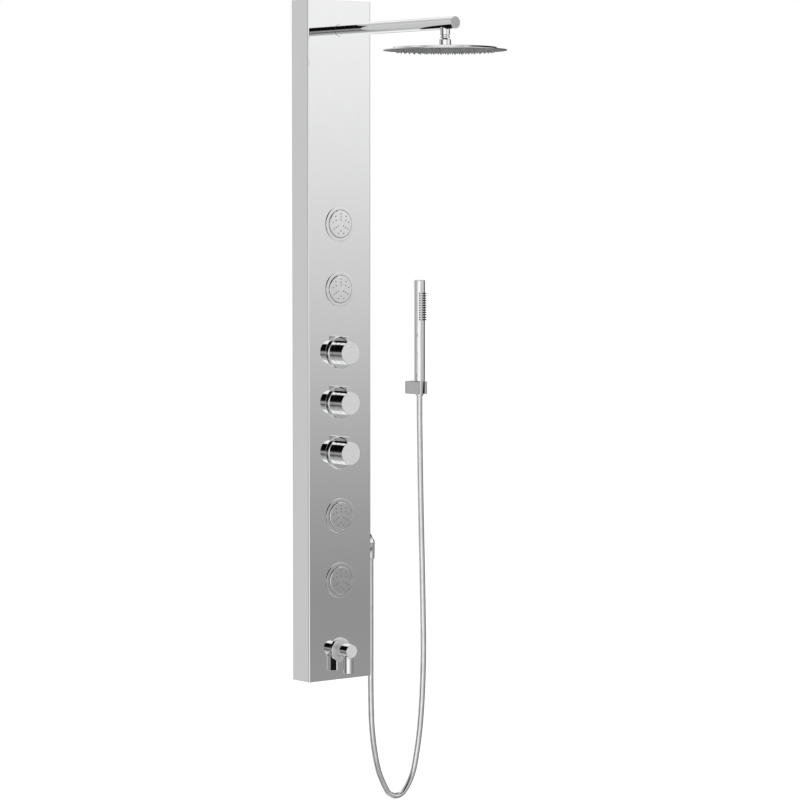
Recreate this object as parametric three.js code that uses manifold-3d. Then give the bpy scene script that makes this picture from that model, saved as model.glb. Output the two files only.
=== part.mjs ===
// Rain shower column: a folded mirror-steel panel that hangs on two wall brackets and carries a rain
// arm with a swivelling head, four body jets, three controls, a tub spout and a hand shower on a hose.
// Millimetres, +Z up. The wall is the plane Y = 0, the panel faces -Y, and X = 0 is its centreline.
// The origin is the middle of the upper wall bracket's back face.

import * as THREE from "three";
import { mergeVertices } from "three/addons/utils/BufferGeometryUtils.js";
import Module from "manifold-3d";

const wasm = await Module();
wasm.setup();

// ---------------------------------------------------------------- driving dimensions

const GAP = 0.3; // clearance between neighbouring pieces
const TIP = 4; // sides of spray nozzles
const COARSE = 6; // sides of hidden tubes
const SMALL = 12; // sides of small turned pieces
const ROUND = 20; // sides of visible turned pieces
const WIDE = 32; // sides of the rain head
const EASE = 0.6; // broken edge on turned pieces

const panel = { width: 173, depth: 60, height: 1500, sheet: 1.5, corner: 3, lip: 15 };
const panelTop = 150; // height of the panel's top above the origin
const panelBottom = panelTop - panel.height;
const front = -panel.depth;

const bracket = { width: 130, below: 17, above: 17, plate: 2.5, groove: 7.5, lip: 15, screwX: 45, screwRadius: 3 };
const bracketHeights = { upper: 0, lower: panelBottom + panelTop };
const rail = { sheet: 2.5, play: 2.5, engage: 11 };

const arm = { drop: 65, reach: 400, radius: 13, wall: 2, cap: 3, tail: 20 };
const armZ = panelTop - arm.drop;
const armNut = { radius: 19, thickness: 8 };

const neck = {
  reach: 365.5, // panel front to the neck's axis
  radius: 10.3,
  waistRadius: 8.9,
  stemRadius: 5,
  threadRadius: 6,
  ballRadius: 8.3,
};
const neckY = front - neck.reach;
const ballDrop = 38.5; // arm axis to ball centre
const ballZ = armZ - ballDrop;
const seat = { wall: 1.4, below: 4, above: 4, play: 0.6 };
const swivelNut = { radius: 12.5, above: 4.6, below: 8.1, bevel: 1.6 };

const head = {
  radius: 131,
  plateRadius: 111,
  rimDrop: 17.9, // ball centre to the middle of the rim
  rim: 2,
  crown: 6.2, // rim middle to the edge of the raised crown
  dome: 3, // rise of the crown towards the middle
  wall: 2,
  bore: 6.6,
};
const nozzle = { rings: 4, pitch: 25.6, radius: 2.2, tipRadius: 1.3, length: 3 };

const jetRises = [1010.4, 866.8, 365, 221.4]; // each jet above the panel's bottom
const jet = {
  bezelRadius: 39,
  bezelHeight: 5,
  faceRadius: 31,
  faceHalf: 3,
  pivot: 1.2, // pivot in front of the panel
  sleeve: 1.7,
  sleeveDepth: 10,
  bodyWall: 3,
  bodyDepth: 15,
  bossRadius: 12,
  bossDepth: 20,
};
const jetHoles = { rings: [[3, 8.8], [6, 15.4], [9, 22]], radius: 1.9, height: 1.4 };

const controls = ["diverter", "flow", "temperature"]; // from the top down
const controlRise = 726.7; // top control above the panel's bottom
const controlPitch = 110.8;
const control = {
  cartridgeRadius: 14,
  spindleRadius: 5,
  nutRadius: 20,
  nutThickness: 8,
  ringStart: 1,
  ringEnd: 6.5,
  ringRadius: 36.5,
  tabWidth: 12,
  tabEnd: 32,
  knobRadius: 25.5,
  knobEnd: 40,
  knobWall: 2.5,
};
const manifold = { width: 44, depth: 26, setback: 12, end: 30, boss: 9, bossLength: 8, socket: 11, socketDepth: 18 };
const inlet = { radius: 10.5, bore: 7, length: 10, depth: 8 };

const tubeDepth = 27; // panel front back to the axis of the hidden pipes
const riser = { radius: 7, bore: 5, x: 55 };
const feed = { radius: 6, bore: 4, handX: 45, spoutX: 66 };
const jetPipe = { radius: 8, branch: 6, x: -60 };

const spout = {
  rise: 66.3, // above the panel's bottom
  flangeRadius: 26.5,
  flangeHeight: 4.2,
  radius: 15.2,
  reach: 42.2,
  outletReach: 30,
  outletRadius: 11.5,
  outletDrop: 49.6,
  collarRadius: 12.6,
  collarDrop: 19,
  collarHeight: 3,
  bore: 9,
  tailRadius: 10,
  tail: 16,
};
const aerator = { height: 8, holeRadius: 1.7, holeCircle: 5 };

const elbow = {
  rise: 296.7, // above the panel's bottom
  flangeRadius: 24.5,
  flangeHeight: 12.5,
  radius: 9.3,
  reach: 22.3,
  leg: 21.5,
  bore: 5,
  tail: 17,
};
const lockNut = { wall: 6, thickness: 7 };

const holder = { x: 244.8, width: 27, depth: 47.5, drop: 847, height: 28.5, axisY: -36, slot: 15 };
const cone = { topRadius: 10.9, bottomRadius: 8.6, below: 4, bore: 4 };
const handset = { radius: 12.5, length: 229, wall: 1.7, cap: 3, plug: 6, floor: 4 };
const spray = { rows: 12, columns: 3, pitch: 5.38, spread: 36, firstDrop: 29.8, margin: 5.5, half: 50, radius: 1.1, tip: 1.6 };

const hose = { radius: 6.5, sides: 8, steps: 52 };
const elbowNut = { radius: 9, height: 16, bore: 4 };
// the hose's centreline, from the elbow's nut round the loop and up to the hand shower
const hoseRoute = [
  [108.8, -30, -1091.4],
  [108.8, -30, -1130],
  [108.8, -30, -1185.4],
  [108.8, -30, -1275.2],
  [108.8, -30, -1364.9],
  [109.6, -30, -1420],
  [112, -30.2, -1473],
  [119.2, -30.5, -1527.8],
  [131.2, -31.2, -1576.4],
  [149.6, -32, -1613.5],
  [177.2, -33.2, -1634],
  [207, -34.6, -1619.5],
  [225.4, -35.4, -1588.2],
  [237.1, -36, -1541.9],
  [245.6, -36.4, -1488.3],
  [251.9, -36.6, -1418.6],
  [255.4, -36.8, -1334.9],
  [255.7, -36.8, -1289.3],
  [254.3, -36.7, -1207.2],
  [252, -36.5, -1107],
  [249.6, -36.3, -1015.8],
  [247.4, -36.2, -924.7],
  [245.8, -36.1, -833.7],
  [245, -36, -775],
  [244.8, -36, -729.8],
];

// ---------------------------------------------------------------- materials

const finish = (color, roughness, metalness) => new THREE.MeshStandardMaterial({ color, roughness, metalness });
const mirrorSteel = finish(0xc9cbcd, 0.06, 1);
const chrome = finish(0xdfe2e4, 0.08, 1);
const galvanised = finish(0x9da2a6, 0.45, 0.9);
const brass = finish(0xb5935a, 0.35, 1);
const braid = finish(0x8f9396, 0.5, 0.6);
const greyPlastic = finish(0x6d7073, 0.55, 0);
const whitePlastic = finish(0xe4e4e0, 0.5, 0);
const silicone = finish(0x55585b, 0.7, 0);
const hoseSkin = finish(0xc4c7ca, 0.18, 0.8);

// ---------------------------------------------------------------- solids

// one indexed mesh with shared vertices, no flat triangles and faces pointing out
function closed(geometry) {
  const loose = geometry.index ? geometry.toNonIndexed() : geometry;
  const bare = new THREE.BufferGeometry();
  bare.setAttribute("position", loose.getAttribute("position").clone());
  const shared = mergeVertices(bare, 1e-4);
  const position = shared.getAttribute("position");
  const corners = shared.index.array;
  const kept = [];
  let volume = 0;
  const [a, b, c] = [new THREE.Vector3(), new THREE.Vector3(), new THREE.Vector3()];
  for (let i = 0; i < corners.length; i += 3) {
    const [p, q, r] = [corners[i], corners[i + 1], corners[i + 2]];
    if (p === q || q === r || r === p) continue;
    kept.push(p, q, r);
    a.fromBufferAttribute(position, p);
    b.fromBufferAttribute(position, q);
    c.fromBufferAttribute(position, r);
    volume += a.dot(b.cross(c));
  }
  if (volume < 0) kept.reverse();
  shared.setIndex(kept);
  return shared;
}

function toSolid(geometry) {
  const mesh = closed(geometry);
  const vertProperties = new Float32Array(mesh.getAttribute("position").array);
  const triVerts = new Uint32Array(mesh.index.array);
  return new wasm.Manifold(new wasm.Mesh({ numProp: 3, vertProperties, triVerts }));
}

function fromSolid(solid) {
  const mesh = solid.getMesh();
  const geometry = new THREE.BufferGeometry();
  geometry.setAttribute("position", new THREE.BufferAttribute(mesh.vertProperties, 3));
  geometry.setIndex(new THREE.BufferAttribute(mesh.triVerts, 1));
  return geometry;
}

function join(...geometries) {
  return fromSolid(geometries.map(toSolid).reduce((sum, next) => sum.add(next)));
}

function cut(base, ...tools) {
  return fromSolid(tools.map(toSolid).reduce((rest, tool) => rest.subtract(tool), toSolid(base)));
}

// ---------------------------------------------------------------- shapes

// turned about Z from [radius, height] points
function turnedZ(profile, sides = ROUND) {
  const points = profile.map(([radius, height]) => new THREE.Vector2(radius, height));
  return closed(new THREE.LatheGeometry(points, sides)).rotateX(Math.PI / 2);
}

// turned about Y, heights running out into the room (-Y)
function turnedOut(profile, sides = ROUND) {
  return turnedZ(profile, sides).rotateX(Math.PI / 2);
}

// turned about X, heights running to the right (+X)
function turnedRight(profile, sides = ROUND) {
  return turnedZ(profile, sides).rotateY(Math.PI / 2);
}

const disc = (radius, low, high) => [[0, low], [radius, low], [radius, high], [0, high]];
const ring = (inner, outer, low, high) => [[inner, low], [outer, low], [outer, high], [inner, high], [inner, low]];

// ring with its outer front edge broken
function easedRing(inner, outer, low, high, ease = EASE) {
  return [[inner, low], [outer, low], [outer, high - ease], [outer - ease, high], [inner, high], [inner, low]];
}

function box(x, y, z) {
  const [width, depth, height] = [x[1] - x[0], y[1] - y[0], z[1] - z[0]];
  const middle = [x, y, z].map(([low, high]) => (low + high) / 2);
  return new THREE.BoxGeometry(width, depth, height).translate(...middle);
}

// a [y, z] outline drawn out along X, centred
function barAlongX(outline, length) {
  const shape = new THREE.Shape(outline.map(([y, z]) => new THREE.Vector2(y, z)));
  const axes = new THREE.Matrix4().makeBasis(
    new THREE.Vector3(0, 1, 0),
    new THREE.Vector3(0, 0, 1),
    new THREE.Vector3(1, 0, 0),
  );
  const bar = new THREE.ExtrudeGeometry(shape, { depth: length, bevelEnabled: false });
  return closed(bar.translate(0, 0, -length / 2).applyMatrix4(axes));
}

function circlePoints(radius, sides) {
  const turn = (2 * Math.PI) / sides;
  return Array.from({ length: sides }, (_, i) => new THREE.Vector2(
    radius * Math.cos(i * turn),
    radius * Math.sin(i * turn),
  ));
}

// a round section swept through the route's points, hollow when a bore is given
function swept(route, radius, sides, steps, bore = 0) {
  const section = new THREE.Shape(circlePoints(radius, sides));
  if (bore > 0) section.holes.push(new THREE.Path(circlePoints(bore, sides)));
  const path = new THREE.CatmullRomCurve3(route.map((point) => new THREE.Vector3(...point)));
  return closed(new THREE.ExtrudeGeometry(section, { steps, extrudePath: path, bevelEnabled: false }));
}

// points of a sphere's outline between two heights, on a sphere centred at zero
function sphereArc(radius, low, high, count) {
  const [start, end] = [Math.asin(low / radius), Math.asin(high / radius)];
  return Array.from({ length: count + 1 }, (_, i) => {
    const angle = start + ((end - start) * i) / count;
    return [radius * Math.cos(angle), radius * Math.sin(angle)];
  });
}

// ---------------------------------------------------------------- assembly

const group = new THREE.Group();

function add(name, material, geometry, x = 0, y = 0, z = 0) {
  const mesh = new THREE.Mesh(closed(geometry), material);
  mesh.name = name;
  mesh.position.set(x, y, z);
  group.add(mesh);
}

const rise = (distance) => panelBottom + distance;
const controlZ = (i) => rise(controlRise - i * controlPitch);
const elbowZ = rise(elbow.rise);
const spoutZ = rise(spout.rise);
const elbowY = front / 2;
const elbowX = panel.width / 2 + elbow.reach;
const jetHole = jet.faceRadius + GAP + jet.sleeve + GAP;

// ---------------------------------------------------------------- casing and wall fixings

function panelOutline() {
  const half = panel.width / 2;
  const { sheet, corner, lip } = panel;
  const outline = new THREE.Shape();
  outline.moveTo(-half, 0);
  outline.lineTo(-half, front + corner);
  outline.absarc(-half + corner, front + corner, corner, Math.PI, 1.5 * Math.PI, false);
  outline.absarc(half - corner, front + corner, corner, -Math.PI / 2, 0, false);
  outline.lineTo(half, 0);
  return { half, sheet, corner, lip, outline };
}

function casing() {
  const { half, sheet, corner, lip, outline } = panelOutline();
  const cap = new THREE.ExtrudeGeometry(outline, { depth: sheet, bevelEnabled: false, curveSegments: 2 });
  const wall = outline.clone();
  const inner = corner - sheet;
  wall.lineTo(half - lip, 0);
  wall.lineTo(half - lip, -sheet);
  wall.lineTo(half - sheet, -sheet);
  wall.absarc(half - corner, front + corner, inner, 0, -Math.PI / 2, true);
  wall.absarc(-half + corner, front + corner, inner, -Math.PI / 2, -Math.PI, true);
  wall.lineTo(-half + sheet, -sheet);
  wall.lineTo(-half + lip, -sheet);
  wall.lineTo(-half + lip, 0);
  const channel = new THREE.ExtrudeGeometry(wall, { depth: panel.height, bevelEnabled: false, curveSegments: 2 });
  channel.translate(0, 0, panelBottom);
  const through = (radius, z) => turnedOut(disc(radius, -2 * sheet, 2 * sheet)).translate(0, front, z);
  const holes = [through(arm.radius + GAP, armZ), through(spout.tailRadius + GAP, spoutZ)];
  jetRises.forEach((distance) => holes.push(through(jetHole, rise(distance))));
  controls.forEach((_, i) => holes.push(through(control.cartridgeRadius + GAP, controlZ(i))));
  const side = turnedRight(disc(elbow.radius + GAP, -2 * sheet, 2 * sheet));
  holes.push(side.translate(half, elbowY, elbowZ));
  const shell = join(
    channel,
    cap.clone().translate(0, 0, panelBottom),
    cap.clone().translate(0, 0, panelTop - sheet),
  );
  return cut(shell, ...holes);
}

// a cleat that opens upwards: plate on the wall, floor and upturned lip
function wallBracket() {
  const { below, above, plate, groove, lip, width, screwX, screwRadius } = bracket;
  const outline = [
    [0, -below],
    [0, above],
    [-plate, above],
    [-plate, plate - below],
    [-plate - groove, plate - below],
    [-plate - groove, lip - below],
    [-2 * plate - groove, lip - below],
    [-2 * plate - groove, -below],
  ];
  const screwZ = above / 2;
  const screwHole = turnedOut(disc(screwRadius, -plate, 2 * plate), SMALL);
  return cut(
    barAlongX(outline, width),
    screwHole.clone().translate(-screwX, 0, screwZ),
    screwHole.clone().translate(screwX, 0, screwZ),
  );
}

// the strip inside the casing that hooks over the bracket's lip
function hangerRail() {
  const back = -bracket.plate - rail.play;
  const inFront = -2 * bracket.plate - bracket.groove - rail.play;
  const seatZ = bracket.lip - bracket.below + GAP;
  const outline = [
    [back, seatZ - rail.engage],
    [back, seatZ + rail.sheet],
    [inFront - rail.sheet, seatZ + rail.sheet],
    [inFront - rail.sheet, -bracket.below],
    [inFront, -bracket.below],
    [inFront, seatZ],
    [back - rail.sheet, seatZ],
    [back - rail.sheet, seatZ - rail.engage],
  ];
  return barAlongX(outline, panel.width - 2 * (panel.sheet + GAP));
}

add("casing", mirrorSteel, casing());
Object.entries(bracketHeights).forEach(([place, z]) => {
  add(`wall_bracket_${place}`, galvanised, wallBracket(), 0, 0, z);
  add(`hanger_rail_${place}`, galvanised, hangerRail(), 0, 0, z);
});

// ---------------------------------------------------------------- rain arm

function armTube() {
  const length = arm.reach + arm.tail;
  const inner = arm.radius - arm.wall;
  const profile = [
    [0, length],
    [arm.radius - EASE, length],
    [arm.radius, length - EASE],
    [arm.radius, 0],
    [inner, 0],
    [inner, length - arm.cap],
    [0, length - arm.cap],
  ];
  const outletHole = turnedZ(disc(neck.threadRadius + GAP, -2 * arm.radius, 0), SMALL);
  return cut(turnedOut(profile), outletHole.translate(0, -arm.tail - neck.reach, 0));
}

function ballStud() {
  const lip = swivelNut.above + 2.3; // underside of the lip, clear of the tilted nut
  const { radius, waistRadius, stemRadius, ballRadius, threadRadius } = neck;
  const ballTop = Math.sqrt(ballRadius ** 2 - stemRadius ** 2);
  const profile = [
    ...sphereArc(ballRadius, -ballRadius, ballTop, 5),
    [stemRadius, lip],
    [radius, lip],
    [radius, lip + 2.6],
    [waistRadius, lip + 3.2],
    [waistRadius, lip + 6.4],
    [radius, lip + 7],
    [radius, ballDrop],
    [0, ballDrop],
  ];
  const armSurface = turnedOut(disc(arm.radius + GAP, -2 * radius, 2 * radius)).translate(0, 0, ballDrop);
  const thread = turnedZ(disc(threadRadius, ballDrop - arm.radius - 1, ballDrop - arm.radius + arm.wall), SMALL);
  return join(cut(turnedZ(profile, SMALL), armSurface), thread);
}

add("arm_tube", chrome, armTube(), 0, front + arm.tail, armZ);
const armNutProfile = ring(arm.radius + GAP, armNut.radius, 0, armNut.thickness);
add("arm_lock_nut", brass, turnedOut(armNutProfile), 0, front + panel.sheet + GAP + armNut.thickness, armZ);
add("ball_stud", chrome, ballStud(), 0, neckY, ballZ);

// ---------------------------------------------------------------- rain head

const seatInner = neck.ballRadius + seat.play;
const seatOuter = seatInner + seat.wall;
const nutCavity = seatOuter + seat.play;

function ballSeat() {
  const outside = sphereArc(seatOuter, -seat.below, seat.above, 4);
  const inside = sphereArc(seatInner, -seat.below, seat.above, 4).reverse();
  return turnedZ([...outside, ...inside, outside[0]], SMALL);
}

function nut() {
  const { radius, above, below, bevel } = swivelNut;
  const cavity = sphereArc(nutCavity, 0, above, 4).reverse();
  return turnedZ([
    [nutCavity, -below],
    [radius, -below],
    [radius, above - bevel],
    [radius - bevel, above],
    ...cavity,
    [nutCavity, -below],
  ]);
}

const rimZ = -head.rimDrop;
const plateTop = rimZ + head.rim / 2;

function headShell() {
  const { radius, plateRadius, rim, crown, dome, wall, bore } = head;
  const spigot = nutCavity - GAP;
  const crownZ = rimZ + crown;
  const spigotTop = -seat.below - 2.3;
  const shoulder = -swivelNut.below - GAP;
  return turnedZ([
    [bore, spigotTop],
    [spigot, spigotTop],
    [spigot, shoulder],
    [swivelNut.radius, shoulder],
    [swivelNut.radius + 2, crownZ + dome],
    [plateRadius / 2, crownZ + dome / 2],
    [plateRadius - 4, crownZ],
    [plateRadius, crownZ - 1.6],
    [plateRadius + 1.5, plateTop],
    [radius - EASE, plateTop],
    [radius, rimZ],
    [radius - EASE, rimZ - rim / 2],
    [plateRadius + GAP, rimZ - rim / 2],
    [plateRadius + GAP, plateTop],
    [plateRadius - 4, crownZ - wall],
    [plateRadius / 2, crownZ + dome / 2 - wall],
    [bore, crownZ + dome - wall],
    [bore, spigotTop],
  ], WIDE);
}

// the plate that closes the head from below, with its rings of nozzles
function nozzlePlate() {
  const top = plateTop - GAP;
  const bottom = rimZ - head.rim / 2;
  const tip = new THREE.CylinderGeometry(nozzle.radius, nozzle.tipRadius, nozzle.length + 1, TIP);
  tip.rotateX(Math.PI / 2).translate(0, 0, bottom - nozzle.length / 2 + 0.5);
  const tips = [];
  for (let ringIndex = 0; ringIndex <= nozzle.rings; ringIndex += 1) {
    const count = Math.max(1, ringIndex * 5);
    for (let i = 0; i < count; i += 1) {
      const angle = (2 * Math.PI * i) / count;
      const radius = ringIndex * nozzle.pitch;
      tips.push(tip.clone().translate(radius * Math.cos(angle), radius * Math.sin(angle), 0));
    }
  }
  return join(turnedZ(disc(head.plateRadius, bottom, top), WIDE), ...tips);
}

add("ball_seat", whitePlastic, ballSeat(), 0, neckY, ballZ);
add("swivel_nut", chrome, nut(), 0, neckY, ballZ);
add("head_shell", chrome, headShell(), 0, neckY, ballZ);
add("nozzle_plate", greyPlastic, nozzlePlate(), 0, neckY, ballZ);

// ---------------------------------------------------------------- body jets

const faceBore = jet.faceRadius + GAP;
const sleeveOuter = faceBore + jet.sleeve;

function jetBezel() {
  const { bezelRadius, bezelHeight, sleeveDepth } = jet;
  return turnedOut([
    [faceBore, -sleeveDepth],
    [sleeveOuter, -sleeveDepth],
    [sleeveOuter, GAP],
    [bezelRadius, GAP],
    [bezelRadius, bezelHeight / 2],
    [bezelRadius - bezelHeight / 2, bezelHeight],
    [faceBore, bezelHeight],
    [faceBore, -sleeveDepth],
  ]);
}

// a slice of a ball, so that it can tilt in the bezel's round bore
function jetFace() {
  const half = jet.faceHalf;
  const rim = sphereArc(jet.faceRadius, -half, half, 2);
  const bump = turnedOut(disc(jetHoles.radius, half - 1, half + jetHoles.height), TIP);
  const bumps = jetHoles.rings.flatMap(([count, radius]) => Array.from({ length: count }, (_, i) => {
    const angle = Math.PI / 2 + (2 * Math.PI * i) / count;
    return bump.clone().translate(radius * Math.cos(angle), 0, radius * Math.sin(angle));
  }));
  return join(turnedOut([[0, -half], ...rim, [0, half]]), ...bumps);
}

// the cup screwed on from behind, with the boss that the feed pipe enters from the left
function jetBody() {
  const { bodyWall, bodyDepth, bossRadius, bossDepth } = jet;
  const bodyFront = -panel.sheet - GAP;
  const inner = sleeveOuter + GAP;
  return turnedOut([
    [0, -bodyDepth - bossDepth],
    [bossRadius, -bodyDepth - bossDepth],
    [bossRadius, -bodyDepth],
    [inner + bodyWall, -bodyDepth],
    [inner + bodyWall, bodyFront],
    [inner, bodyFront],
    [inner, bodyWall - bodyDepth],
    [0, bodyWall - bodyDepth],
  ]);
}

jetRises.forEach((distance, i) => {
  const z = rise(distance);
  add(`jet_${i + 1}_bezel`, chrome, jetBezel(), 0, front, z);
  add(`jet_${i + 1}_face`, chrome, jetFace(), 0, front - jet.pivot, z);
  add(`jet_${i + 1}_body`, whitePlastic, jetBody(), 0, front, z);
});

// ---------------------------------------------------------------- controls

function cartridge() {
  const { spindleRadius, cartridgeRadius, ringStart } = control;
  return turnedOut(ring(spindleRadius + GAP, cartridgeRadius, GAP - manifold.setback, ringStart - GAP), SMALL);
}

function leverRing() {
  const { spindleRadius, ringRadius, ringStart, ringEnd, tabWidth, tabEnd, knobRadius } = control;
  const plate = turnedOut(easedRing(spindleRadius + GAP, ringRadius, ringStart, ringEnd, 1.2));
  const half = tabWidth / 2;
  const tab = box([-half, half], [-tabEnd, -ringStart - EASE], [knobRadius + GAP, ringRadius - EASE]);
  return join(plate, tab);
}

function knob() {
  const { knobRadius, knobEnd, knobWall, ringEnd } = control;
  return turnedOut([
    [0, knobEnd - knobWall],
    [knobRadius - knobWall, knobEnd - knobWall],
    [knobRadius - knobWall, ringEnd + GAP],
    [knobRadius, ringEnd + GAP],
    [knobRadius, knobEnd - EASE],
    [knobRadius - EASE, knobEnd],
    [0, knobEnd],
  ]);
}

controls.forEach((name, i) => {
  const z = controlZ(i);
  const { cartridgeRadius, nutRadius, nutThickness, spindleRadius, knobEnd, knobWall } = control;
  const nutFront = -panel.sheet - GAP;
  const nutProfile = ring(cartridgeRadius + GAP, nutRadius, nutFront - nutThickness, nutFront);
  const spindleProfile = disc(spindleRadius, GAP - manifold.setback, knobEnd - knobWall - GAP);
  add(`${name}_cartridge`, brass, cartridge(), 0, front, z);
  add(`${name}_lock_nut`, brass, turnedOut(nutProfile, SMALL), 0, front, z);
  add(`${name}_spindle`, brass, turnedOut(spindleProfile, SMALL), 0, front, z);
  add(`${name}_lever_ring`, chrome, leverRing(), 0, front, z);
  add(`${name}_knob`, chrome, knob(), 0, front, z);
});

// ---------------------------------------------------------------- manifold and pipes

const manifoldFront = front + manifold.setback;
const manifoldBack = manifoldFront + manifold.depth;
const manifoldTop = controlZ(0) + manifold.end;
const manifoldBottom = controlZ(2) - manifold.end;
const pipeY = front + tubeDepth;
const outletX = manifold.width / 4;
const inletHeights = [0.5, 1.5].map((step) => controlZ(step));

function controlManifold() {
  const { width, boss, bossLength, socket, socketDepth } = manifold;
  const half = width / 2;
  const block = box([-half, half], [manifoldFront, manifoldBack], [manifoldBottom, manifoldTop]);
  const upright = (z) => turnedZ(disc(boss, -bossLength, bossLength), SMALL).translate(outletX, pipeY, z);
  const sideways = (x, z) => turnedRight(disc(boss, -bossLength, bossLength), SMALL).translate(x, pipeY, z);
  const nipple = turnedOut(disc(inlet.radius, -inlet.length, 1), SMALL);
  const nippleBore = turnedOut(disc(inlet.bore, -inlet.length - 1, inlet.depth), SMALL);
  const well = turnedOut(disc(socket, -socketDepth, 1), SMALL);
  const solid = join(
    block,
    upright(manifoldTop),
    upright(manifoldBottom),
    sideways(-half, controlZ(1)),
    sideways(half, controlZ(2)),
    ...inletHeights.map((z) => nipple.clone().translate(0, manifoldBack, z)),
  );
  return cut(
    solid,
    ...inletHeights.map((z) => nippleBore.clone().translate(0, manifoldBack, z)),
    ...controls.map((_, i) => well.clone().translate(0, manifoldFront, controlZ(i))),
  );
}

// one upright pipe with a branch to the manifold and one to each jet
function jetFeedPipe() {
  const { radius, branch, x } = jetPipe;
  const top = rise(jetRises[0]) + 2 * radius;
  const bottom = rise(jetRises[3]) - 2 * radius;
  const jetReach = -x - jet.bossRadius - GAP;
  const manifoldReach = -x - manifold.width / 2 - manifold.bossLength - GAP;
  const toJet = turnedRight(disc(branch, 0, jetReach), COARSE);
  const toManifold = turnedRight(disc(branch, 0, manifoldReach), COARSE);
  return join(
    turnedZ(disc(radius, bottom, top), SMALL).translate(x, pipeY, 0),
    ...jetRises.map((distance) => toJet.clone().translate(x, pipeY, rise(distance))),
    toManifold.translate(x, pipeY, controlZ(1)),
  );
}

// three points in a straight line, so that a pipe leaves its port square
function straight(start, step) {
  return [0, 1, 2].map((n) => start.map((value, axis) => value + n * step[axis]));
}

const armInside = front + arm.tail;
const riserRoute = [
  ...straight([outletX, pipeY, manifoldTop + manifold.bossLength + GAP], [0, 0, 7]),
  [outletX + 8, pipeY, manifoldTop + 50],
  [riser.x - 6, pipeY, manifoldTop + 95],
  [riser.x, pipeY, manifoldTop + 140],
  [riser.x, pipeY, (manifoldTop + armZ) / 2],
  [riser.x, pipeY, armZ - 90],
  [riser.x - 2, pipeY + 6, armZ - 45],
  [riser.x - 14, armInside + 22, armZ - 16],
  [26, armInside + 28, armZ - 2],
  [12, armInside + 26, armZ],
  ...straight([0, armInside + GAP, armZ], [0, 6, 0]).reverse(),
];

const elbowTailX = panel.width / 2 - elbow.tail;
const handRoute = [
  ...straight([manifold.width / 2 + manifold.bossLength + GAP, pipeY, controlZ(2)], [4, 0, 0]),
  [feed.handX + 3, pipeY + 3, controlZ(2) - 14],
  [feed.handX + 4, pipeY + 5, controlZ(2) - 50],
  [feed.handX + 2, pipeY + 5, (controlZ(2) + elbowZ) / 2],
  [feed.handX, elbowY, elbowZ + 34],
  [feed.handX + 4, elbowY, elbowZ + 8],
  ...straight([elbowTailX - GAP, elbowY, elbowZ], [-5, 0, 0]).reverse(),
];

const spoutTailY = front + spout.tail;
const spoutRoute = [
  ...straight([outletX, pipeY, manifoldBottom - manifold.bossLength - GAP], [0, 0, -6]),
  [feed.spoutX - 34, front + 13, manifoldBottom - 60],
  [feed.spoutX - 6, front + 10, manifoldBottom - 90],
  [feed.spoutX, front + 10, manifoldBottom - 130],
  [feed.spoutX, front + 10, (manifoldBottom + spoutZ) / 2],
  [feed.spoutX, front + 10, spoutZ + 105],
  [feed.spoutX - 8, front + 20, spoutZ + 50],
  [feed.spoutX - 32, spoutTailY + 26, spoutZ + 12],
  [13, spoutTailY + 30, spoutZ],
  ...straight([0, spoutTailY + GAP, spoutZ], [0, 7, 0]).reverse(),
];

add("control_manifold", brass, controlManifold());
add("jet_feed_pipe", whitePlastic, jetFeedPipe());
add("riser_tube", braid, swept(riserRoute, riser.radius, COARSE, 16, riser.bore));
add("hand_feed_tube", braid, swept(handRoute, feed.radius, COARSE, 12, feed.bore));
add("spout_feed_tube", braid, swept(spoutRoute, feed.radius, COARSE, 18, feed.bore));

// ---------------------------------------------------------------- tub spout

function spoutBody() {
  const { radius, reach, outletReach, outletRadius, outletDrop, collarRadius, collarDrop, collarHeight } = spout;
  const barrelStart = spout.flangeHeight + GAP;
  const barrel = turnedOut([
    [0, barrelStart],
    [radius, barrelStart],
    [radius, reach - EASE],
    [radius - EASE, reach],
    [0, reach],
  ]);
  const tail = turnedOut(disc(spout.tailRadius, -spout.tail, barrelStart + 1), SMALL);
  const outlet = turnedZ(disc(outletRadius, -outletDrop, 0)).translate(0, -outletReach, 0);
  const collar = turnedZ(disc(collarRadius, -collarDrop, collarHeight - collarDrop)).translate(0, -outletReach, 0);
  const inward = turnedOut(disc(spout.bore - 2, -spout.tail - 1, outletReach), SMALL);
  const downward = turnedZ(disc(spout.bore, -outletDrop - 1, 0)).translate(0, -outletReach, 0);
  return cut(join(barrel, tail, outlet, collar), inward, downward);
}

function spoutAerator() {
  const plug = turnedZ(disc(spout.bore - GAP, 0, aerator.height));
  const hole = turnedZ(disc(aerator.holeRadius, -1, aerator.height + 1), TIP);
  const holes = Array.from({ length: 6 }, (_, i) => {
    const angle = (i * Math.PI) / 3;
    return hole.clone().translate(aerator.holeCircle * Math.cos(angle), aerator.holeCircle * Math.sin(angle), 0);
  });
  return cut(plug, hole, ...holes);
}

function lockNutRing(shaftRadius) {
  return ring(shaftRadius + GAP, shaftRadius + lockNut.wall, -lockNut.thickness, 0);
}

const insideFace = panel.sheet + GAP;
add("spout_flange", chrome, turnedOut(easedRing(spout.tailRadius + GAP, spout.flangeRadius, GAP, spout.flangeHeight)),
  0, front, spoutZ);
add("spout_body", chrome, spoutBody(), 0, front, spoutZ);
add("spout_aerator", greyPlastic, spoutAerator(), 0, front - spout.outletReach, spoutZ - spout.outletDrop + 1);
add("spout_lock_nut", brass, turnedOut(lockNutRing(spout.tailRadius), SMALL), 0, front + insideFace, spoutZ);

// ---------------------------------------------------------------- hose outlet elbow

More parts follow.
